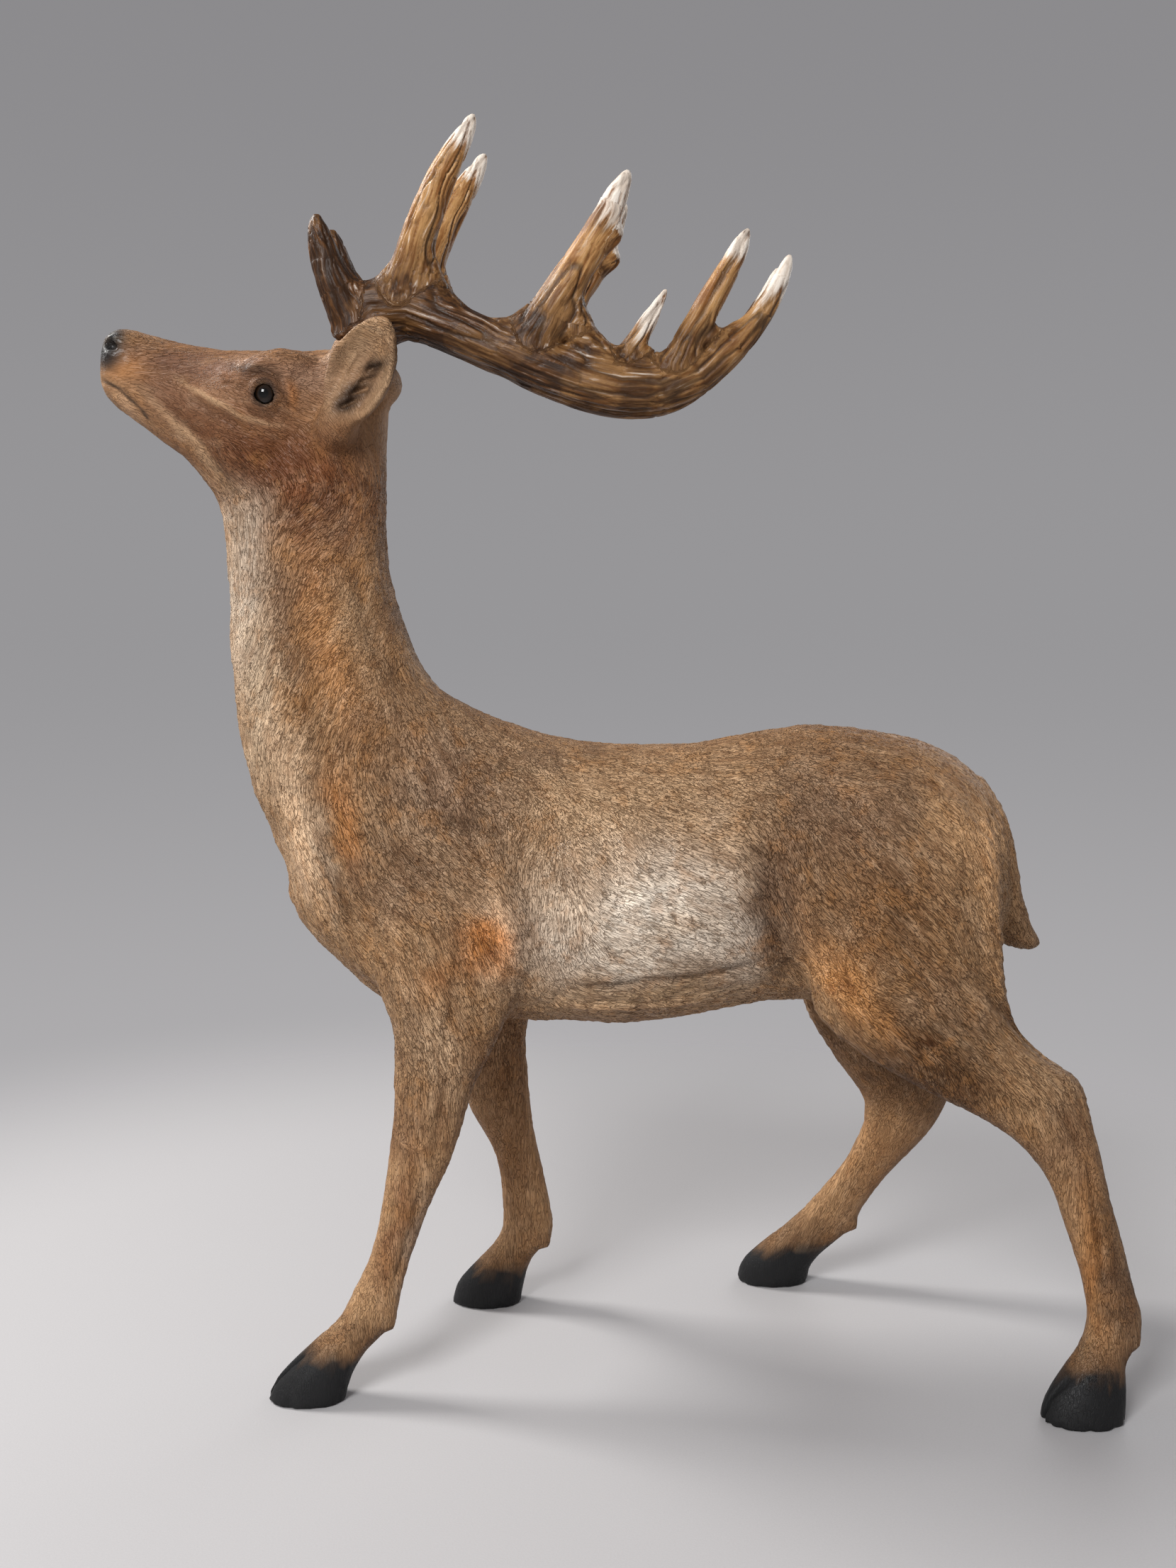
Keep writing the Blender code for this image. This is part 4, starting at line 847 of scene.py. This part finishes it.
def add_webs(obj, side):
    """Clay in the crotches, joined to the antler before its skin is made anew."""
    lift = RIGHT_ANTLER_RAISE if side > 0 else 0.0
    webs = []
    for rows in WEBS:
        curve = bpy.data.curves.new("web", "CURVE")
        curve.dimensions = "3D"
        curve.bevel_depth = ROW
        curve.bevel_resolution = 3
        curve.use_fill_caps = True
        spline = curve.splines.new("NURBS")
        spline.points.add(len(rows) - 1)
        spline.use_endpoint_u = True
        spline.order_u = 3
        for point, (x, y, z, radius) in zip(spline.points, rows):
            place = at(x, z, side * y)
            point.co = (place[0], place[1], place[2] + lift, 1.0)
            point.radius = radius
        web = bpy.data.objects.new("web", curve)
        bpy.context.scene.collection.objects.link(web)
        only(web)
        bpy.ops.object.convert(target="MESH")
        webs.append(web)
    only(obj)
    for web in webs:
        web.select_set(True)
    bpy.ops.object.join()


def seat_place(side):
    """The middle of the seat where an antler stands on the skull."""
    place = at(SEAT[0], SEAT[2], side * SEAT[1])
    place[2] += RIGHT_ANTLER_RAISE if side > 0 else 0.0
    return place


def build_antler(name, node, side):
    """An antler: its CAD form made finer, with webs, furrows and a knobbly burr, and its paint's masks."""
    obj = copy_of(node, name)
    finish_with(obj, "SUBSURF", levels=1, render_levels=1)
    add_webs(obj, side)
    finish_with(obj, "REMESH", mode="VOXEL", voxel_size=COARSE_GRAIN)
    fill_crotches(Clay(obj), CROTCH_ROUNDS)
    finish_with(obj, "SUBSURF", levels=1, render_levels=1)
    finish_with(obj, "REMESH", mode="VOXEL", voxel_size=ANTLER_GRAIN)
    finish_with(obj, "SMOOTH", factor=0.5, iterations=4)
    clay = Clay(obj)
    share, grain, white, dark, clear = antler_grain(clay.points, side)
    warp = (noise(clay.points / 0.03, 24) - 0.5) * 0.006
    bent = grain + warp[:, None]
    broad = noise(bent / np.array(BROAD_FURROW), 21)
    broad = 1 - smooth_step(0.0, BROAD_EDGE, np.abs(broad - 0.5))
    narrow = noise(bent / np.array(NARROW_FURROW), 22)
    narrow = 1 - smooth_step(0.0, NARROW_EDGE, np.abs(narrow - 0.5))
    knobs = np.clip(noise(clay.points / KNOB_SIZE, 23) - 0.5, 0, 1) * 2
    burr = smooth_step(BURR_REACH, BURR_CORE, np.linalg.norm(clay.points - seat_place(side), axis=1))
    cut = (smooth_step(1.0, 0.8, share) * 0.7 + 0.3) * clear
    clay.raise_by(((0.3 - broad) * BROAD_DEPTH - narrow * NARROW_DEPTH) * cut + knobs * KNOB_HEIGHT * burr)
    clay.put_back()
    put_attribute(obj, "grain", "FLOAT_VECTOR", bent)
    put_attribute(obj, "furrow", "FLOAT", np.maximum(broad, 0.75 * narrow) * clear)
    put_attribute(obj, "burr", "FLOAT", burr)
    put_attribute(obj, "white", "FLOAT", white)
    put_attribute(obj, "dark", "FLOAT", dark)
    thin_to(obj, ANTLER_TRIANGLES)
    return obj


def build_eye(name, node):
    """A glass eye: a ball with a slightly flatter front, like the real one."""
    low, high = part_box(node)
    middle = (Vector(low) + Vector(high)) / 2
    bpy.ops.object.select_all(action="DESELECT")
    bpy.ops.mesh.primitive_uv_sphere_add(segments=64, ring_count=40, radius=EYE_RADIUS, location=middle)
    obj = bpy.context.object
    obj.name = name
    bpy.ops.object.mode_set(mode="EDIT")
    bpy.ops.mesh.select_all(action="SELECT")
    bpy.ops.transform.rotate(value=math.radians(90), orient_axis="X", center_override=middle)
    bpy.ops.transform.resize(value=(0.95, 0.985, 1.0), center_override=middle)
    bpy.ops.object.mode_set(mode="OBJECT")
    bpy.ops.object.transform_apply(location=True, rotation=True, scale=True)
    bpy.ops.object.shade_smooth()
    return obj, middle


class Value:
    """A number socket that can be used in Python sums; each sum adds its Math node."""

    def __init__(self, paint, socket):
        self.paint = paint
        self.socket = socket

    def __add__(self, other):
        return self.paint.math("ADD", self, other)

    def __sub__(self, other):
        return self.paint.math("SUBTRACT", self, other)

    def __mul__(self, other):
        return self.paint.math("MULTIPLY", self, other)

    def __truediv__(self, other):
        return self.paint.math("DIVIDE", self, other)

    def __radd__(self, other):
        return self.paint.math("ADD", other, self)

    def __rsub__(self, other):
        return self.paint.math("SUBTRACT", other, self)

    def __rmul__(self, other):
        return self.paint.math("MULTIPLY", other, self)


class Paint:
    """A material and the few kinds of node that its finish is mixed from."""

    def __init__(self, name, **constants):
        self.material = bpy.data.materials.new(name)
        self.material.use_nodes = True
        self.tree = self.material.node_tree
        self.shader = self.tree.nodes["Principled BSDF"]
        for socket, value in constants.items():
            self.shader.inputs[socket.replace("_", " ")].default_value = value
        self.place = self.node("ShaderNodeTexCoord").outputs["Object"]

    def node(self, kind, settings=None, **sockets):
        made = self.tree.nodes.new(kind)
        for name, value in (settings or {}).items():
            setattr(made, name, value)
        for name, value in sockets.items():
            numbered = name[0] == "i" and name[1:].isdigit()
            self.put(made.inputs[int(name[1:]) if numbered else name.replace("_", " ")], value)
        return made

    def put(self, socket, value):
        value = getattr(value, "socket", value)
        if isinstance(value, bpy.types.NodeSocket):
            self.tree.links.new(value, socket)
        else:
            socket.default_value = value

    def math(self, operation, first, second=0.0, clamp=False):
        made = self.node("ShaderNodeMath", {"operation": operation, "use_clamp": clamp}, i0=first, i1=second)
        return Value(self, made.outputs[0])

    def clamp(self, value):
        return self.math("ADD", value, 0.0, clamp=True)

    def between(self, value, low, high, to_low=0.0, to_high=1.0):
        """The value eased from low..high to to_low..to_high."""
        made = self.node("ShaderNodeMapRange", {"interpolation_type": "SMOOTHSTEP"}, Value=value,
                         From_Min=low, From_Max=high, To_Min=to_low, To_Max=to_high)
        return Value(self, made.outputs[0])

    def attribute(self, name, output="Fac"):
        made = self.node("ShaderNodeAttribute", {"attribute_name": name})
        return Value(self, made.outputs[output])

    def noise(self, place, scale, detail=3.0, roughness=0.55, distortion=0.0):
        made = self.node("ShaderNodeTexNoise", Vector=place, Scale=scale, Detail=detail, Roughness=roughness,
                         Distortion=distortion)
        return Value(self, made.outputs["Fac"])

    def mix(self, factor, first, second, blend="MIX"):
        """Two colours mixed; a colour is a tuple or a socket."""
        first, second = (c + (1.0,) if isinstance(c, tuple) else c for c in (first, second))
        settings = {"data_type": "RGBA", "blend_type": blend}
        made = self.node("ShaderNodeMix", settings, i0=factor, i6=first, i7=second)
        return made.outputs[2]

    def times(self, place, shares):
        """A place with each of its coordinates multiplied by its share."""
        return self.node("ShaderNodeVectorMath", {"operation": "MULTIPLY"}, i0=place, i1=shares).outputs[0]

    def scaled(self, place, sizes):
        """A place measured in units of these sizes."""
        return self.times(place, tuple(1 / size for size in sizes))

    def length(self, place):
        made = self.node("ShaderNodeVectorMath", {"operation": "LENGTH"}, i0=place)
        return Value(self, made.outputs["Value"])

    def bump(self, height, distance, strength=1.0):
        made = self.node("ShaderNodeBump", Height=height, Distance=distance, Strength=strength)
        self.put(self.shader.inputs["Normal"], made.outputs[0])

    def finish(self, **sockets):
        for name, value in sockets.items():
            self.put(self.shader.inputs[name.replace("_", " ")], value)
        return self.material


# The hair is drawn along directions this far apart. Its strokes, wisps and streaks, along and across it
LIE_STEP = math.radians(22.5)
STROKE_SIZE = (0.024, 0.0033, 0.0033)
WISP_SIZE = (0.012, 0.0017, 0.0017)
STREAK_SIZE = (0.085, 0.0125, 0.0125)


def hair_strokes(paint, lie):
    """Strokes, wisps and broad streaks, drawn out along the hair and blended between two set directions."""
    turns = lie / LIE_STEP
    lower = paint.math("FLOOR", turns)
    blend = paint.between(turns - lower, 0.3, 0.7)
    found = []
    for step in (0.0, 1.0):
        angle = (lower + step) * LIE_STEP
        turned = paint.node("ShaderNodeVectorRotate", {"rotation_type": "Y_AXIS"}, Vector=paint.place,
                            Angle=angle).outputs[0]
        strokes = paint.noise(paint.scaled(turned, STROKE_SIZE), 1.0, 1.0, 0.5, 0.12)
        wisps = paint.noise(paint.scaled(turned, WISP_SIZE), 1.0, 1.0, 0.5, 0.15)
        streaks = paint.noise(paint.scaled(turned, STREAK_SIZE), 1.0, 2.0, 0.6, 0.3)
        found.append((strokes, wisps, streaks))
    return tuple(a + (b - a) * blend for a, b in zip(*found))


def crest(paint, value, width):
    """1 along the lines where a noise passes its middle value, falling to 0 within the width."""
    away = paint.math("ABSOLUTE", value - 0.5)
    return paint.between(away, width, 0.0)


# What the coat is multiplied by: in its darkest grooves as painted shade, in its darker streaks and mottling,
# and on its ridges as painted highlight
GROOVE_SHADE_AND_SPECK_TINT = (0.38, 0.29, 0.22)
DUSK_TINT = (0.66, 0.58, 0.52)
RIDGE_HIGHLIGHT_TINT = (1.5, 1.5, 1.55)
PALE_TINT = (1.45, 1.45, 1.45)
RIDGE_HIGHLIGHT_PAINT = (0.68, 0.50, 0.32)
PALE_WASH = (0.7, 0.56, 0.4)
ORANGE_WASH = (0.42, 0.19, 0.06)
GREY_WASH = (0.20, 0.125, 0.08)
FUR_BUMP = 0.0024


def coat_material():
    """Painted resin fur: airbrushed colours, with painted shade in the carving and painted highlight on its
    ridges.
    """
    paint = Paint("painted_fur", Specular_IOR_Level=0.22)
    strokes, wisps, streaks = hair_strokes(paint, paint.attribute("lie"))
    depth = paint.clamp(paint.attribute("depth"))
    relief = paint.attribute("relief")
    gloss = paint.attribute("gloss")
    coat = paint.attribute("coat", "Color").socket
    mottle = paint.noise(paint.place, 34.0, 4.0, 0.62)
    patches = paint.noise(paint.place, 11.0, 3.0)
    fleck = paint.noise(paint.place, 210.0, 2.0)
    # Stroke grooves and fine grooves, also sunk in the bump below, and the carving's hollows: where painted
    # shade goes
    groove = crest(paint, strokes, 0.042) * paint.between(mottle, 0.32, 0.5, 0.35, 1.0)
    fine_groove = crest(paint, wisps, 0.05)
    hollow = paint.between(relief, 0.36, 0.05)
    # The coat darkened, for painted shade in the grooves and hollows and for dark specks
    dark = paint.mix(1.0, coat, GROOVE_SHADE_AND_SPECK_TINT, "MULTIPLY")
    dusk = paint.mix(1.0, coat, DUSK_TINT, "MULTIPLY")
    # The coat lightened, for painted highlight on the ridges
    light = paint.mix(0.35, paint.mix(1.0, coat, RIDGE_HIGHLIGHT_TINT, "MULTIPLY"), RIDGE_HIGHLIGHT_PAINT)
    pale = paint.mix(0.2, paint.mix(1.0, coat, PALE_TINT, "MULTIPLY"), PALE_WASH)
    colour = paint.mix(paint.between(streaks, 0.52, 0.70) * (0.15 + 0.5 * depth), coat, pale)
    colour = paint.mix(paint.between(streaks, 0.48, 0.32) * (0.2 + 0.55 * depth), colour, dusk)
    colour = paint.mix(paint.between(mottle, 0.5, 0.66) * 0.4 * depth, colour, ORANGE_WASH)
    colour = paint.mix(paint.between(mottle, 0.48, 0.34) * 0.45 * depth, colour, dusk)
    colour = paint.mix(paint.between(patches, 0.52, 0.66) * 0.35 * depth, colour, GREY_WASH)
    # Painted highlight on the carving's ridges
    ridge_highlight = paint.between(relief, 0.45, 0.9) * paint.between(wisps, 0.47, 0.6)
    colour = paint.mix(ridge_highlight * 0.34 * depth, colour, light)
    # Painted shade in the carving's hollows and in the stroke grooves
    colour = paint.mix(hollow * 0.55 * depth, colour, dark)
    colour = paint.mix(groove * (0.12 + 0.55 * depth), colour, dark)
    colour = paint.mix(fine_groove * (0.06 + 0.30 * depth), colour, dark)
    colour = paint.mix(paint.between(fleck, 0.64, 0.74) * 0.5 * depth, colour, dark)
    bare = paint.between(depth, 0.0, 0.15)
    colour = paint.mix(bare, coat, colour)
    height = (1.0 - groove * 0.8 - fine_groove * 0.35 + wisps * 0.6 + fleck * 0.15) * (0.14 + 0.86 * depth)
    paint.bump(height, FUR_BUMP)
    roughness = paint.between(wisps, 0.35, 0.65, 0.62, 0.45) - gloss * 0.22
    return paint.finish(Base_Color=colour, Roughness=roughness, Coat_Weight=gloss * 0.4)


DARK_AMBER = (0.23, 0.092, 0.024)
LIGHT_AMBER = (0.46, 0.25, 0.095)
DARK_BEAM = (0.030, 0.012, 0.004)
LIGHT_BEAM = (0.12, 0.050, 0.016)
FURROW_PAINT = (0.03, 0.016, 0.009)
SPECK_PAINT = (0.05, 0.028, 0.015)
CHALK = (0.76, 0.68, 0.59)
ANTLER_STREAK = (0.0045, 0.0045, 0.06)
ANTLER_SPECK = (0.0018, 0.0018, 0.006)
ANTLER_BUMP = 0.0014


def antler_material():
    """Painted antler: amber bone with dark furrows, near-black at the burr and white at the tips."""
    paint = Paint("painted_antler", Specular_IOR_Level=0.22)
    burr = paint.attribute("burr")
    furrow = paint.attribute("furrow")
    white = paint.attribute("white")
    dark = paint.attribute("dark")
    grain = paint.attribute("grain", "Vector").socket
    streaks = paint.noise(paint.scaled(grain, ANTLER_STREAK), 1.0, 3.0)
    patches = paint.noise(paint.place, 24.0, 3.0)
    specks = paint.noise(paint.scaled(grain, ANTLER_SPECK), 1.0, 2.0)
    amber = paint.mix(paint.between(streaks, 0.35, 0.62), DARK_AMBER, LIGHT_AMBER)
    dusky = paint.mix(paint.between(streaks, 0.4, 0.68), DARK_BEAM, LIGHT_BEAM)
    darkness = paint.clamp(dark + paint.between(patches, 0.56, 0.4) * 0.35 + burr * 0.3 - 0.1)
    colour = paint.mix(darkness, amber, dusky)
    colour = paint.mix(paint.between(furrow, 0.45, 0.95) * 0.62, colour, FURROW_PAINT)
    colour = paint.mix(paint.between(specks, 0.64, 0.72) * 0.6, colour, SPECK_PAINT)
    chalk = paint.clamp(paint.between(white + (streaks - 0.5) * 2.8, 0.3, 0.95) * (1.0 - furrow * 0.5))
    colour = paint.mix(chalk, colour, CHALK)
    paint.bump(streaks * 0.8 + specks * 0.3, ANTLER_BUMP, 0.9)
    return paint.finish(Base_Color=colour, Roughness=paint.between(streaks, 0.3, 0.7, 0.5, 0.38))


PUPIL = (0.002, 0.002, 0.002)
IRIS = (0.022, 0.010, 0.004)


def eye_material(middle, side):
    """Black glass with a dark brown iris that shows only close up."""
    paint = Paint("eye_glass_" + ("left" if side < 0 else "right"), Roughness=0.05, Specular_IOR_Level=0.4)
    centred = paint.node("ShaderNodeMapping", {"vector_type": "POINT"}, Vector=paint.place,
                         Location=tuple(-c for c in middle)).outputs[0]
    away = paint.length(paint.times(centred, (1.0, 0.0, 1.0)))
    rays = paint.noise(centred, 900.0, 2.0)
    iris = paint.between(away, 0.0045, 0.0065) * paint.between(away, 0.0105, 0.0085)
    colour = paint.mix(iris * rays, PUPIL, IRIS)
    return paint.finish(Base_Color=colour)


# The floor's disc ends at the first distance and starts to fade at the second
FLOOR_EDGE = 1.9
FLOOR_FADE = 0.85
FLOOR_DARK = (0.45, 0.44, 0.445)
FLOOR_LIGHT = (0.49, 0.48, 0.485)
# The grey around the studio, by height from straight down (0) to straight up (1)
BACKDROP = (
    (0.2, (0.43, 0.42, 0.43, 1.0)),
    (0.5, (0.31, 0.305, 0.315, 1.0)),
    (0.85, (0.26, 0.255, 0.265, 1.0)),
)
# Each soft light's name, place, target, size, power and colour
LIGHTS = (
    ("key", (-2.2, 0.8, 2.7), (0.0, 0.0, 0.6), 0.9, 88.0, (1.0, 0.985, 0.96)),
    ("side_fill", (-1.7, -3.6, 3.1), (0.05, 0.0, 0.65), 1.6, 190.0, (1.0, 1.0, 1.0)),
    ("rear_fill", (1.8, 2.4, 2.0), (0.0, 0.0, 0.6), 1.8, 22.0, (1.0, 1.0, 1.0)),
)


def floor_material():
    """A plain pale studio floor that fades away into the grey around it."""
    paint = Paint("studio_floor", Specular_IOR_Level=0.25)
    away = paint.length(paint.place)
    grain = paint.noise(paint.place, 420.0, 2.0)
    paint.bump(grain, 0.0004, 0.3)
    return paint.finish(Base_Color=paint.mix(grain, FLOOR_DARK, FLOOR_LIGHT),
                        Roughness=paint.between(grain, 0.3, 0.7, 0.62, 0.55),
                        Alpha=paint.between(away, FLOOR_EDGE, FLOOR_FADE))


def add_floor():
    bpy.ops.object.select_all(action="DESELECT")
    bpy.ops.mesh.primitive_circle_add(vertices=96, radius=FLOOR_EDGE, fill_type="NGON")
    floor = bpy.context.object
    floor.name = "studio_floor"
    floor.data.materials.append(floor_material())


def add_world():
    world = bpy.data.worlds.new("studio")
    bpy.context.scene.world = world
    world.use_nodes = True
    tree = world.node_tree
    background = tree.nodes["Background"]
    direction = tree.nodes.new("ShaderNodeTexCoord")
    split = tree.nodes.new("ShaderNodeSeparateXYZ")
    ramp = tree.nodes.new("ShaderNodeValToRGB")
    lift = tree.nodes.new("ShaderNodeMath")
    lift.inputs[1].default_value = 0.5
    ramp.color_ramp.interpolation = "EASE"
    stops = ramp.color_ramp.elements
    stops.new(BACKDROP[-1][0])
    for stop, (height, grey) in zip(stops, BACKDROP):
        stop.position = height
        stop.color = grey
    tree.links.new(direction.outputs["Generated"], split.inputs[0])
    tree.links.new(split.outputs["Z"], lift.inputs[0])
    tree.links.new(lift.outputs[0], ramp.inputs[0])
    tree.links.new(ramp.outputs[0], background.inputs["Color"])
    background.inputs["Strength"].default_value = 1.0


def add_area_light(name, place, target, size, power, colour):
    light = bpy.data.lights.new(name, "AREA")
    light.shape = "SQUARE"
    light.size = size
    light.energy = power
    light.color = colour
    obj = bpy.data.objects.new(name, light)
    bpy.context.scene.collection.objects.link(obj)
    obj.location = place
    obj.rotation_euler = (Vector(target) - Vector(place)).to_track_quat("-Z", "Y").to_euler()


def add_camera():
    data = bpy.data.cameras.new("photograph_view")
    data.sensor_fit = "AUTO"
    data.sensor_width = SENSOR
    data.lens = FOCAL_PIXELS * SENSOR / max(PHOTO_WIDTH, PHOTO_HEIGHT)
    camera = bpy.data.objects.new("photograph_view", data)
    bpy.context.scene.collection.objects.link(camera)
    camera.location = CAMERA_PLACE
    camera.rotation_euler = (math.radians(90) - CAMERA_PITCH, 0.0, 0.0)
    bpy.context.scene.camera = camera


def smooth_shaded(obj):
    only(obj)
    bpy.ops.object.shade_smooth()


def dress_statue():
    body = carve_body()
    paint_body(body)
    body.data.materials.append(coat_material())
    smooth_shaded(body)
    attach(body, "root")
    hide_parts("body")
    antler_paint = antler_material()
    for name, side in (("left", -1), ("right", 1)):
        antler = build_antler(f"stag_antler_{name}", f"antler_{name}", side)
        antler.data.materials.append(antler_paint)
        smooth_shaded(antler)
        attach(antler, "root")
        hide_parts(f"antler_{name}")
        eye, middle = build_eye(f"stag_eye_{name}", f"eye_{name}")
        eye.data.materials.append(eye_material(middle, side))
        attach(eye, "root")
        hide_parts(f"eye_{name}")


add_camera()
add_world()
add_floor()
for light in LIGHTS:
    add_area_light(*light)
dress_statue()
bpy.context.scene.view_settings.view_transform = "Standard"
